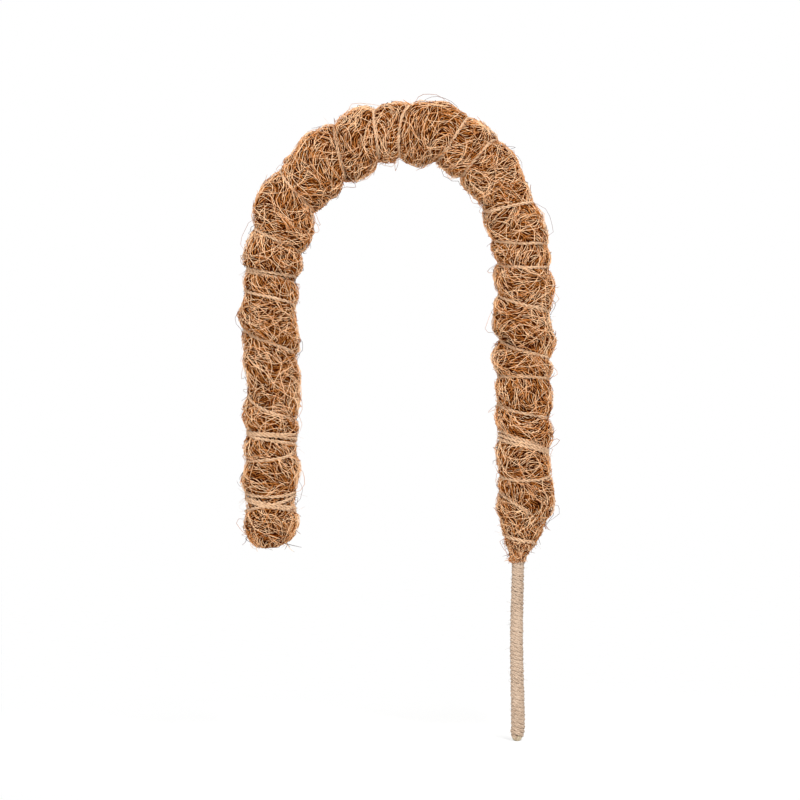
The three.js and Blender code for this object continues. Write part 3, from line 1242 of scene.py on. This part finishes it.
    def _mat(self, span: Span, material: bpy.types.Material) -> bpy.types.Object:
        """Makes the pressed mat of one span.

        Args:
            span: the length of pole that it covers.
            material: the mat's finish.

        Returns:
            The new piece.
        """
        low, high = max(span.low, self.first), min(span.high, self.last)
        count = max(3, round((high - low) / self.mat_step))
        places = np.linspace(low, high, count)[:, None] + np.zeros(self.mat_sides)
        angles = np.arange(self.mat_sides) * FULL_TURN / self.mat_sides + np.zeros((count, 1))
        draw = np.random.default_rng(self.seed + round(low))
        grain = draw.normal(0.0, self.mat_grain, places.shape)
        grain[[0, -1]] = 0.0
        radii = np.maximum(self.form.radius(places, angles) - self.mat_depth + grain, self.mat_least_radius)
        rings, _ = self.axis.around(places, angles, radii)
        return PieceMaker.wrapped("coir_mat_" + span.name, rings, material)

    def _lay(self, places: Array, angles: Array) -> Array:
        """The direction that the fibres mostly take: with the twine, in slow swirls and in small ones."""
        return Waves.summed(self.swirls, self.swirl_waves, self.seed + 1, places, angles, self.slant)

    def _traces(self, layer: CombedLayer, draw: np.random.Generator) -> list[Array]:
        """Follows the lay from scattered starts, each fibre keeping clear of those before it.

        Args:
            layer: the layer to fill.
            draw: the random numbers to use.

        Returns:
            For each fibre the places and angles, step by step, that it goes through.
        """
        rows = int((self.last - self.first) / self.cell)
        columns = int(FULL_TURN * self.flat_radius / self.cell)
        places = self.first + (np.arange(rows)[:, None] + 0.5) * self.cell + np.zeros(columns)
        angles = (np.arange(columns) + 0.5) * FULL_TURN / columns + np.zeros((rows, 1))
        headings = self._lay(places, angles) + layer.turn
        full, close = np.zeros((rows, columns), bool), np.zeros((rows, columns), bool)

        def keep(trace: Array, grid: Array, reach: float) -> None:
            """Marks the cells round a fibre as taken.

            Args:
                trace: the rows and columns that the fibre goes through.
                grid: where they are marked.
                reach: how far from the fibre, in cells.
            """
            near = np.arange(-math.ceil(reach), math.ceil(reach) + 1)
            off_row, off_column = np.nonzero(near[:, None] ** 2 + near**2 <= reach**2)
            row = trace[:, :1].astype(int) + near[off_row]
            column = trace[:, 1:].astype(int) + near[off_column]
            grid[np.clip(row, 0, rows - 1), column % columns] = True

        def follow(row: float, column: float, stray: float, pace: float, steps: int) -> list[Numbers]:
            """Goes along the lay until the fibre is long enough or meets another.

            Args:
                row: where it starts along the sleeve.
                column: where it starts round the sleeve.
                stray: how far its heading is off the lay.
                pace: the length of a step in cells, below zero to go backwards.
                steps: the most steps that it takes.

            Returns:
                The rows and columns that it comes to.
            """
            path = []
            for _ in range(steps):
                heading = headings[int(row), int(column) % columns] + stray
                row, column = row + pace * math.sin(heading), column + pace * math.cos(heading)
                if not 0 <= row < rows or close[int(row), int(column) % columns]:
                    break
                path.append((row, column))
            return path

        if layer.bed:
            wound, along = self.form.route.winding()
            bare = self.form.route.covered(wound) < 0.5
            bed = np.stack([(along - self.first) / self.cell, wound / FULL_TURN * columns], axis=1)[bare]
            for grid in (close, full):
                keep(bed, grid, self.bed_reach / self.cell)
        made = []
        scattered = draw.integers(0, rows * columns, self.first_traces)
        starts = np.concatenate([scattered, np.arange(rows * columns)])
        lengths = draw.uniform(*layer.length, len(starts)) / (self.pace * self.cell)
        shares = draw.uniform(0.0, 1.0, len(starts))
        strays = draw.normal(0.0, self.stray, len(starts))
        for start, length, share, stray in zip(starts.tolist(), lengths, shares, strays):
            row, column = divmod(start, columns)
            if full[row, column]:
                continue
            back = int(length * share)
            behind = follow(row + 0.5, column + 0.5, stray, -self.pace, back)
            ahead = follow(row + 0.5, column + 0.5, stray, self.pace, int(length) - back)
            trace = np.array([*behind[::-1], (row + 0.5, column + 0.5), *ahead])
            keep(trace, full, layer.gap / self.cell)
            if len(trace) >= self.least_trace:
                keep(trace, close, self.close_share * layer.gap / self.cell)
                made.append(trace * (self.cell, FULL_TURN / columns) + (self.first, 0.0))
        return made

    def _combed(self, layer: CombedLayer, draw: np.random.Generator) -> Strands:
        """Draws one combed layer on the sleeve.

        Args:
            layer: what its sizes are drawn from.
            draw: the random numbers to use.

        Returns:
            The fibres.
        """
        traces = self._traces(layer, draw)
        count = len(traces)
        share = np.linspace(-0.5, 0.5, self.fibre_steps)
        spread = []
        for trace in traces:
            shares = np.linspace(-0.5, 0.5, len(trace))
            spread.append([np.interp(share, shares, line) for line in trace.T])
        places, angles = np.moveaxis(np.array(spread), 1, 0)
        ahead, aside = np.gradient(places, axis=1), np.gradient(angles, axis=1) * self.flat_radius
        stride = np.hypot(ahead, aside)
        run = stride.sum(axis=1)[:, None] * share
        phase = draw.uniform(0.0, FULL_TURN, (2, count, 1))
        pace = self.crimp_length * draw.uniform(*self.crimp_spread, (2, count, 1))
        side = self.crimp * np.sin(run / pace[0] + phase[0]) / (stride + SMALL)
        places, angles = places + aside * side, angles - ahead * side / self.flat_radius
        places = np.clip(places, self.first, self.last)
        height = per_fibre(draw, layer.height, count) + self.crimp_rise * np.sin(run / pace[1] + phase[1])
        height = height - self.end_dip * (2.0 * share) ** 4
        radii = self.form.radius(places, angles) + height
        return self._along(layer, places, angles, radii, 1.0 - self.taper * np.abs(2.0 * share) ** 3, draw)

    def _loose(self, kind: LooseKind, draw: np.random.Generator) -> Strands:
        """Draws one kind of single fibre: curves that lie on the sleeve or stand off it.

        Args:
            kind: what its sizes are drawn from.
            draw: the random numbers to use.

        Returns:
            The fibres.
        """
        count = kind.count
        spread = np.mod(draw.uniform(0.0, 1.0, 2) + np.arange(count)[:, None] * EVEN, 1.0)
        reach = self.last - self.first - self.low_margin - self.high_margin
        place = self.first + self.low_margin + spread[:, 0] * reach
        angle = spread[:, 1] * FULL_TURN
        heading = self._lay(place, angle) + draw.uniform(-1.0, 1.0, count) * self.mess
        bend = draw.choice((-1.0, 1.0), count) / draw.uniform(*kind.curl, count)
        drift = draw.normal(0.0, self.drift, count)
        length = per_fibre(draw, kind.length, count)
        share = np.linspace(-0.5, 0.5, self.fibre_steps)
        run = length * share
        turning = heading[:, None] + bend[:, None] * run + drift[:, None] * run**2
        step = length / (self.fibre_steps - 1)
        ahead = np.cumsum(np.sin(turning) * step, axis=1)
        aside = np.cumsum(np.cos(turning) * step, axis=1)
        middle = [self.fibre_steps // 2]
        angles = angle[:, None] + (aside - aside[:, middle]) / self.flat_radius
        free = place[:, None] + ahead - ahead[:, middle]
        held = self._held(free, self.form.route.lobe(place, angle)[:, None], angles)
        bound = per_fibre(draw, (0.0, 1.0), count) < kind.bound
        places = np.clip(np.where(bound, held, free), self.first, self.last)
        bow = 1.0 - (2.0 * share) ** 2 if kind.arched else (share + 0.5) ** 2
        rise = per_fibre(draw, kind.lift, count) * bow
        phase = per_fibre(draw, (0.0, FULL_TURN), count)
        waves = self.wave * np.sin(run / per_fibre(draw, self.wave_length, count) + phase)
        height = per_fibre(draw, kind.height, count) + waves + rise - kind.tuck * (2.0 * share) ** 4
        radii = self.form.radius(places, angles) + height
        taper = 1.0 - self.loose_taper * np.abs(2.0 * share) ** 3
        return self._along(kind, places, angles, radii, taper, draw)

    def _held(self, free: Array, lobe: Array, angles: Array) -> Array:
        """Eases fibres back into their lobe.

        Args:
            free: the places where they would lie if nothing held them.
            lobe: the number of each fibre's lobe.
            angles: the angles round the pole.

        Returns:
            The places, none of them past the twine at either end of the lobe.
        """
        low, gap = self.form.route.lobe_ends(lobe, angles)
        reach = 2.0 * (free - low) / gap - 1.0
        over = np.maximum(np.abs(reach) - self.easy, 0.0) / (1.0 - self.easy)
        kept = np.minimum(np.abs(reach), self.easy) + (1.0 - self.easy) * np.tanh(over)
        return low + gap * (0.5 + 0.5 * np.sign(reach) * kept)

    def _along(
        self,
        sort: FibreSort,
        places: Array,
        angles: Array,
        radii: Array,
        taper: Array,
        draw: np.random.Generator,
    ) -> Strands:
        """Makes fibres from their lines.

        Args:
            sort: what their widths and tones are drawn from.
            places: the fibres' places along the pole, point by point.
            angles: their angles round it.
            radii: their distances from the middle line.
            taper: the share of its width that a fibre has at each point.
            draw: the random numbers to use.

        Returns:
            The fibres, with the places of their middles in offsets.
        """
        points, ups = self.axis.around(places, angles, radii)
        thick = per_fibre(draw, sort.width, len(places)) / 2 * taper
        tones = draw.uniform(*sort.tone, len(places))
        return Strands(points, ups, thick, tones, offsets=places.mean(axis=1))

    def _fringe(self, fringe: Fringe, draw: np.random.Generator) -> Strands:
        """Draws the frayed ends that hang from the neck round the stake.

        Args:
            fringe: what their sizes are drawn from.
            draw: the random numbers to use.

        Returns:
            The fibres.
        """
        count = fringe.count
        share = np.linspace(0.0, 1.0, self.fibre_steps)
        top = draw.uniform(*fringe.top, count)
        drop = per_fibre(draw, fringe.drop, count)
        flare = draw.gamma(1.0, fringe.flare, (count, 1))
        places = top[:, None] - drop * share
        turn = draw.normal(0.0, fringe.sway, count) / self.form.radius(top, np.zeros(count))
        angles = per_fibre(draw, fringe.angle, count) + turn[:, None] * share
        radii = np.maximum(self.form.radius(places, angles), fringe.least_radius) + fringe.clear
        radii = radii + np.minimum(flare, fringe.most_flare) * share**fringe.flare_power
        radii = radii + fringe.wave * np.sin(share * per_fibre(draw, fringe.wave_turns, count))
        return self._along(fringe, places, angles, radii, 1.0 - self.taper * share**2, draw)

    def _curls(self, tuft: Tuft, draw: np.random.Generator) -> Strands:
        """Draws the loose curls round the closed end of the sleeve.

        Args:
            tuft: what their sizes are drawn from.
            draw: the random numbers to use.

        Returns:
            The fibres.
        """
        count = tuft.count
        share = np.linspace(0.0, 1.0, self.fibre_steps)
        start = per_fibre(draw, tuft.start, count)
        angles = draw.normal(tuft.middle, tuft.spread, (count, 1))
        angles = angles + draw.normal(0.0, tuft.turn, (count, 1)) * share
        root = self.form.radius(start, angles[:, :1]) * per_fibre(draw, tuft.root, count)
        reach = per_fibre(draw, tuft.reach, count)
        curl = draw.normal(0.0, tuft.curl, (count, 1))
        radii = np.abs(root + curl * share**2 + tuft.wave * np.sin(tuft.wave_turns * share))
        places = np.minimum(start + reach * share * (1.0 - tuft.slowing * share), self.last + tuft.beyond)
        return self._along(tuft, places, angles, radii, 1.0 - self.taper * share**2, draw)


@dataclass(frozen=True)
class Yarn:
    """Twisted yarn: plies that wind round a path, with a few loose hairs."""

    plies: int = 2
    ply_radius: float = 0.74
    ply_offset: float = 0.86
    flatness: float = 0.72
    lay: float = 9.0
    sides: int = 6
    hair_gap: float = 5.0
    hair_length: Numbers = (2.0, 6.0)
    hair_width: float = 0.22
    hair_steps: int = 5
    hair_lift: float = 0.6
    hair_curl: float = 0.5
    hair_taper: float = 0.5
    hair_tone: Numbers = (0.5, 1.0)
    ply_tone: Numbers = (0.3, 0.7)
    unevenness: float = 0.02

    def pieces(
        self,
        names: tuple[str, str],
        path: tuple[Array, Array],
        material: bpy.types.Material,
        draw: np.random.Generator,
        start: float = 0.0,
        swell: Union[float, Array] = 0.0,
    ) -> list[bpy.types.Object]:
        """Makes a length of yarn and its hairs as two pieces.

        Args:
            names: the pieces' names.
            path: its points, and the directions that face away from what the yarn lies on.
            material: the yarn's finish.
            draw: the random numbers to use.
            start: how far along the whole yarn the path begins.
            swell: how much thicker the plies are than elsewhere.

        Returns:
            The yarn and the hairs.
        """
        plies = self.twist(*path, draw, start)
        plies.radii += swell
        both = (plies, self.hairs(*path, draw))
        made = [PieceMaker.strands(name, strands, material) for name, strands in zip(names, both)]
        return made

    def twist(self, points: Array, ups: Array, draw: np.random.Generator, start: float) -> Strands:
        """Winds the plies.

        Args:
            points: the path, point by point.
            ups: the directions that face away from what the yarn lies on.
            draw: the random numbers to use.
            start: how far along the whole yarn the path begins.

        Returns:
            The plies.
        """
        side = unit(np.cross(unit(np.gradient(points, axis=0)), ups))
        run = travelled(points) + start
        lines = []
        for ply in range(self.plies):
            phase = FULL_TURN * (run / self.lay + ply / self.plies)
            out = np.cos(phase) * self.ply_offset * self.flatness
            across = np.sin(phase) * self.ply_offset
            lines.append(points + out[:, None] * ups + across[:, None] * side)
        lines = np.array(lines)
        radii = self.ply_radius * draw.normal(1.0, self.unevenness, lines.shape[:2])
        tones = draw.uniform(*self.ply_tone, self.plies)
        return Strands(lines, np.broadcast_to(ups, lines.shape), radii, tones, self.sides)

    def hairs(self, points: Array, ups: Array, draw: np.random.Generator) -> Strands:
        """Draws the loose hairs that stand off the yarn.

        Args:
            points: the path, point by point.
            ups: the directions that face away from what the yarn lies on.
            draw: the random numbers to use.

        Returns:
            The hairs.
        """
        count = max(2, int(travelled(points)[-1] / self.hair_gap))
        at = draw.integers(1, len(points) - 1, count)
        ahead = unit(points[at + 1] - points[at - 1])
        side = np.cross(ahead, ups[at])
        lean = draw.normal(0.0, 1.0, (count, 3))
        way = ahead * lean[:, [0]] + side * lean[:, [1]] + ups[at] * np.abs(lean[:, [2]]) * self.hair_lift
        curl = draw.normal(0.0, self.hair_curl, (count, 3))
        share = np.linspace(0.0, 1.0, self.hair_steps)[None, :, None]
        length = draw.uniform(*self.hair_length, count)[:, None, None]
        root = points[at] + ups[at] * self.ply_radius
        lines = root[:, None] + (unit(way)[:, None] + curl[:, None] * share) * share * length
        radii = np.full(lines.shape[:2], self.hair_width / 2) * (1.0 - self.hair_taper * share[..., 0])
        top = np.broadcast_to(ups[at][:, None], lines.shape)
        return Strands(lines, top, radii, draw.uniform(*self.hair_tone, count))


@dataclass
class BindingTwine:
    """The twine that is wound along the sleeve from the neck to the tip.

    Rise is how high its middle lies on the coir, and cover how much deeper it lies where coir hides it.
    """

    axis: PoleAxis
    form: SleeveForm
    spans: list[Span]
    yarn: Yarn = Yarn()
    rise: float = 1.25
    cover: float = 2.6
    seed: int = 21

    def build(self, material: bpy.types.Material) -> list[bpy.types.Object]:
        """Makes the twine of every span.

        Args:
            material: the twine's finish.

        Returns:
            The new pieces.
        """
        draw = np.random.default_rng(self.seed)
        angles, places = self.form.route.winding()
        rise = self.rise - self.cover * self.form.route.covered(angles)
        radii = self.form.radius(places, np.mod(angles, FULL_TURN)) + rise
        points, ups = self.axis.around(places, angles, radii)
        run = travelled(points)
        cuts = [int(np.argmax(places >= span.low)) for span in self.spans] + [len(places) - 1]
        cuts[0] = 0
        made = []
        for span, start, end in zip(self.spans, cuts, cuts[1:]):
            path = points[start : end + 1], ups[start : end + 1]
            names = "binding_twine_" + span.name, "twine_hairs_" + span.name
            pieces = self.yarn.pieces(names, path, material, draw, run[start])
            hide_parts("twine_" + span.bodies[-1])
            for piece in pieces:
                span.carry(piece, self.axis)
            made += pieces
        return made


@dataclass
class StakeWinding:
    """The bare stake: two flattened yarns of twine wound side by side over the wire.

    A wave is given by its height and by the distance in which it goes through one radian.
    """

    axis: PoleAxis
    foot: float = 3.4
    top: float = 170.0
    loops: float = 24.3
    foot_radius: float = 5.0
    top_radius: float = 4.15
    round_end: float = 9.5
    roundness: float = 1.32
    sway: float = 0.6
    sway_level: float = 0.35
    sway_foot: float = 0.3
    sway_length: float = 150.0
    pitch_wave: float = 0.14
    pitch_turns: float = 61.0
    slow_wave: Numbers = (0.1, 7.0)
    quick_wave: Numbers = (0.08, 2.9)
    sink: float = 0.35
    steps_in_loop: int = 40
    smooth: tuple[Numbers, ...] = (
        (12, 0.0), (20, 1.0), (42, 1.0), (52, 0.2), (76, 0.2), (88, 0.8), (106, 0.8), (114, 0.0),
        (142, 0.0), (150, 0.6),
    )  # fmt: skip
    yarn: Yarn = Yarn(
        plies=3, ply_radius=0.95, ply_offset=0.97, flatness=0.36, lay=16.0, sides=8, hair_gap=9.0,
        hair_length=(1.5, 4.0),
    )  # fmt: skip
    seed: int = 31

    def build(self, material: bpy.types.Material) -> list[bpy.types.Object]:
        """Makes both yarns with their hairs.

        Args:
            material: the twine's finish.

        Returns:
            The new pieces.
        """
        draw = np.random.default_rng(self.seed)
        share = np.linspace(0.0, 1.0, int(self.loops * self.steps_in_loop) + 1)
        made = []
        for letter, start in (("a", 0.0), ("b", math.pi)):
            places = self.foot + (self.top - self.foot) * share
            places = places + self.pitch_wave * np.sin(share * self.pitch_turns + start)
            angles = start + share * self.loops * FULL_TURN
            points, ups = self.axis.around(places, angles, self._middles(places, start))
            points[:, 0] += self._sway(places)
            names = "stake_twine_" + letter, "stake_hairs_" + letter
            pieces = self.yarn.pieces(names, (points, ups), material, draw, swell=self._sunk(places))
            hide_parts("stake_strand_" + letter)
            for piece in pieces:
                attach(piece, "stake")
            made += pieces
        return made

    def _sway(self, places: Array) -> Array:
        """How far the stake wanders to the side, as hand winding leaves it."""
        wave = self.sway_level + np.cos(FULL_TURN * (places - self.axis.stake_length) / self.sway_length)
        return self.sway * wave * np.clip(places / self.round_end - self.sway_foot, 0.0, 1.0)

    def _sunk(self, places: Array) -> Array:
        """How far the plies are thicker and sunk into each other, where the winding is smooth."""
        return self.sink * np.interp(places, *np.array(self.smooth).T)

    def _middles(self, places: Array, start: float) -> Array:
        """Finds the radius at which a yarn's middle is wound.

        Args:
            places: distances along the pole.
            start: the angle that the yarn starts at.

        Returns:
            The radii: a little larger below, uneven, and rounded off at the end.
        """
        radii = np.interp(places, (self.foot, self.top), (self.foot_radius, self.top_radius))
        for (height, length), phase in ((self.slow_wave, start), (self.quick_wave, 0.0)):
            radii = radii + height * np.sin(places / length + phase)
        past = np.clip((self.round_end - places) / self.round_end, 0.0, 1.0)
        return (radii - self._sunk(places)) * np.sqrt(1.0 - self.roundness * past**2)


@dataclass
class TwineKnot:
    """An overhand knot with two frayed tails at one end of the binding twine."""

    name: str
    body: str
    ahead: Sequence[float]
    size: float = 1.55
    depth: float = 1.4
    flatness: float = 0.7
    lift: float = 0.6
    opening: float = 0.35
    tail: float = 11.0
    fall: tuple[float, float, float] = (0.0, -0.075, 0.105)
    fall_power: float = 1.3
    steps: int = 90
    tail_steps: int = 24
    yarn: Yarn = Yarn(ply_radius=0.7, ply_offset=0.62, flatness=1.0, lay=7.0, hair_gap=1.6, hair_width=0.2)
    seed: int = 41

    def build(self, material: bpy.types.Material) -> list[bpy.types.Object]:
        """Makes the knot where the CAD has its bead.

        Args:
            material: the twine's finish.

        Returns:
            The new pieces.
        """
        low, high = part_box(self.name)
        centre = (np.array(low) + np.array(high)) / 2 / MM
        path = self._path()
        along = unit(np.array(self.ahead))
        height = path[:, [2]] * self.flatness + self.lift
        points = centre + path[:, [0]] * np.cross(BACK, along) + path[:, [1]] * along + height * BACK
        ups = np.broadcast_to(BACK, points.shape)
        names = self.name + "_twine", self.name + "_hairs"
        made = self.yarn.pieces(names, (points, ups), material, np.random.default_rng(self.seed))
        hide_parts(self.name)
        for piece in made:
            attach(piece, self.body)
        return made

    def _path(self) -> Array:
        """Ties the knot in its own plane.

        Returns:
            The twine's points: one tail, the loops of the knot and the other tail.
        """
        turn = np.linspace(self.opening, FULL_TURN - self.opening, self.steps)
        across = np.sin(turn) + 2.0 * np.sin(2.0 * turn)
        along = np.cos(turn) - 2.0 * np.cos(2.0 * turn)
        loop = np.stack([across, along, -self.depth * np.sin(3.0 * turn)], axis=-1)
        tails = np.linspace(0.0, 1.0, self.tail_steps)[1:, None] * self.tail / self.size
        fall = np.array([self.fall]) * tails**self.fall_power
        first = loop[0] + unit(loop[0] - loop[1]) * tails + fall
        last = loop[-1] + unit(loop[-1] - loop[-2]) * tails - fall
        return np.concatenate([first[::-1], loop, last]) * self.size


@dataclass
class TipSeal:
    """The stake's rounded end, where the twine is soaked in glue."""

    profile: tuple[Numbers, ...] = (
        (0.0, 1.6), (0.25, 2.5), (0.8, 3.3), (1.6, 3.8), (2.6, 4.25), (3.8, 4.6), (4.8, 4.3),
    )  # fmt: skip
    sides: int = 48
    ripple: float = 0.018
    ripples: int = 5
    ripple_lean: float = 2.2

    def build(self) -> bpy.types.Object:
        """Extrudes the cap ring by ring and ripples it like the twine beneath.

        Returns:
            The new piece.
        """
        bpy.ops.object.select_all(action="DESELECT")
        height, radius = self.profile[0]
        bpy.ops.mesh.primitive_circle_add(
            vertices=self.sides, radius=radius * MM, fill_type="NGON", location=(0.0, 0.0, height * MM)
        )
        piece = bpy.context.object
        piece.name = "stake_end_glue"
        bpy.ops.object.transform_apply(location=True, rotation=True, scale=True)
        bpy.ops.object.mode_set(mode="EDIT")
        bpy.ops.mesh.select_all(action="SELECT")
        for (low, narrow), (high, wide) in zip(self.profile, self.profile[1:]):
            bpy.ops.mesh.extrude_region_move(TRANSFORM_OT_translate={"value": (0.0, 0.0, (high - low) * MM)})
            grow = wide / narrow
            bpy.ops.transform.resize(value=(grow, grow, 1.0), center_override=(0.0, 0.0, high * MM))
        PieceMaker.complete(piece, GlueFinish().material())
        for vertex in piece.data.vertices:
            turn = math.atan2(vertex.co.y, vertex.co.x)
            phase = self.ripples * turn + self.ripple_lean * vertex.co.z / MM
            swell = 1.0 + self.ripple * math.cos(phase)
            vertex.co.x *= swell
            vertex.co.y *= swell
        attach(piece, "stake")
        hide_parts("stake_tip_seal")
        return piece


@dataclass
class CoreWire:
    """The soft wire, whose CAD lengths stay as they are."""

    nodes: dict[str, bpy.types.Object]

    def dress(self) -> None:
        """Gives every length of wire its finish."""
        material = WireFinish().material()
        for name, node in self.nodes.items():
            if name.startswith("core_"):
                node.data.materials.clear()
                node.data.materials.append(material)


@dataclass(frozen=True)
class Lamp:
    """A soft square lamp: where it hangs and how wide it is, in metres, and its power in watts."""

    name: str
    place: tuple[float, float, float]
    side: float
    watts: float


@dataclass
class Studio:
    """The white floor, the soft lamps and the camera of the photograph."""

    picture_width: float = 689.6
    picture_middle: Numbers = (-100.9, 293.9)
    camera_distance: float = 3200.0
    camera_reach: float = 100.0
    sensor: float = 36.0
    floor_side: float = 9.0
    sky_light: float = 0.42
    lamps: tuple[Lamp, ...] = (
        Lamp("key_lamp", (0.45, -1.6, 1.75), side=0.8, watts=56.0),
        Lamp("fill_lamp", (-1.5, -1.3, 0.7), side=1.4, watts=15.0),
        Lamp("back_lamp", (-0.3, 1.4, 1.5), side=1.2, watts=5.0),
    )

    def build(self) -> None:
        """Sets up the floor, the world, the lamps and the camera."""
        self._floor()
        self._world()
        for lamp in self.lamps:
            self._hang(lamp)
        self._camera()

    def _floor(self) -> None:
        """Lays the floor under the stake's end."""
        bpy.ops.object.select_all(action="DESELECT")
        bpy.ops.mesh.primitive_plane_add(size=self.floor_side)
        floor = bpy.context.object
        floor.name = "studio_floor"
        floor.data.materials.append(FloorFinish().material())

    def _world(self) -> None:
        """Makes an even sky that the camera sees as white."""
        graph = FinishGraph(bpy.data.worlds.new("studio_sky"))
        inputs = {"Value": graph.looked_at(), "To Min": self.sky_light, "To Max": 1.0}
        level = graph.node("ShaderNodeMapRange", None, inputs, "Result")
        sky = graph.node("ShaderNodeBackground", None, {"Color": (1.0, 1.0, 1.0), "Strength": level})
        bpy.context.scene.world = graph.output(sky, "ShaderNodeOutputWorld")

    def _hang(self, lamp: Lamp) -> None:
        """Hangs one lamp so that it faces the middle of the picture.

        Args:
            lamp: the lamp.
        """
        data = bpy.data.lights.new(lamp.name, "AREA")
        data.size = lamp.side
        data.energy = lamp.watts
        hung = bpy.data.objects.new(lamp.name, data)
        bpy.context.scene.collection.objects.link(hung)
        hung.location = lamp.place
        across, up = self.picture_middle
        hung.rotation_euler = self._facing(np.array([across, 0.0, up]) * MM - np.array(lamp.place))

    def _camera(self) -> None:
        """Places the camera straight in front of the bend."""
        data = bpy.data.cameras.new("photo_camera")
        data.sensor_width = self.sensor
        data.lens = self.sensor * self.camera_distance / self.picture_width
        data.clip_end = self.camera_reach
        camera = bpy.data.objects.new("photo_camera", data)
        bpy.context.scene.collection.objects.link(camera)
        across, up = self.picture_middle
        camera.location = (across * MM, -self.camera_distance * MM, up * MM)
        camera.rotation_euler = (QUARTER, 0.0, 0.0)
        bpy.context.scene.camera = camera

    @staticmethod
    def _facing(aim: Array) -> tuple[float, float, float]:
        """The turn that points a lamp's -Z along a direction."""
        flat = math.hypot(aim[0], aim[1])
        return (math.atan2(flat, -aim[2]), 0.0, math.atan2(-aim[0], aim[1]))


def main() -> None:
    """Builds the pole's sub-assemblies in order, then the studio."""
    logging.basicConfig(level=logging.INFO, format="%(name)s: %(message)s")
    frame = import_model()
    axis = PoleAxis()
    form = SleeveForm(TwineRoute())
    spans = Sections(axis).spans()
    twine = TwineFinish().material()
    tan = {"shadow": (0.29, 0.16, 0.08), "beige": (0.60, 0.38, 0.225), "pale": (0.80, 0.56, 0.37)}
    binding = TwineFinish("tan_twine", **tan).material()
    CoreWire(frame["nodes"]).dress()
    made = CoirSleeve(axis, form, spans).build()
    made += BindingTwine(axis, form, spans).build(binding)
    made += StakeWinding(axis).build(twine)
    made += TwineKnot("neck_knot", "stake", (-1.0, 0.0, 0.2)).build(binding)
    made += TwineKnot("tip_knot", "tip", (1.0, 0.0, -0.2), seed=42).build(binding)
    made.append(TipSeal().build())
    Studio().build()
    for piece in made:
        LOG.info("%s: %d faces", piece.name, len(piece.data.polygons))
    bpy.context.scene.view_settings.view_transform = "Standard"


if __name__ == "__main__":
    main()
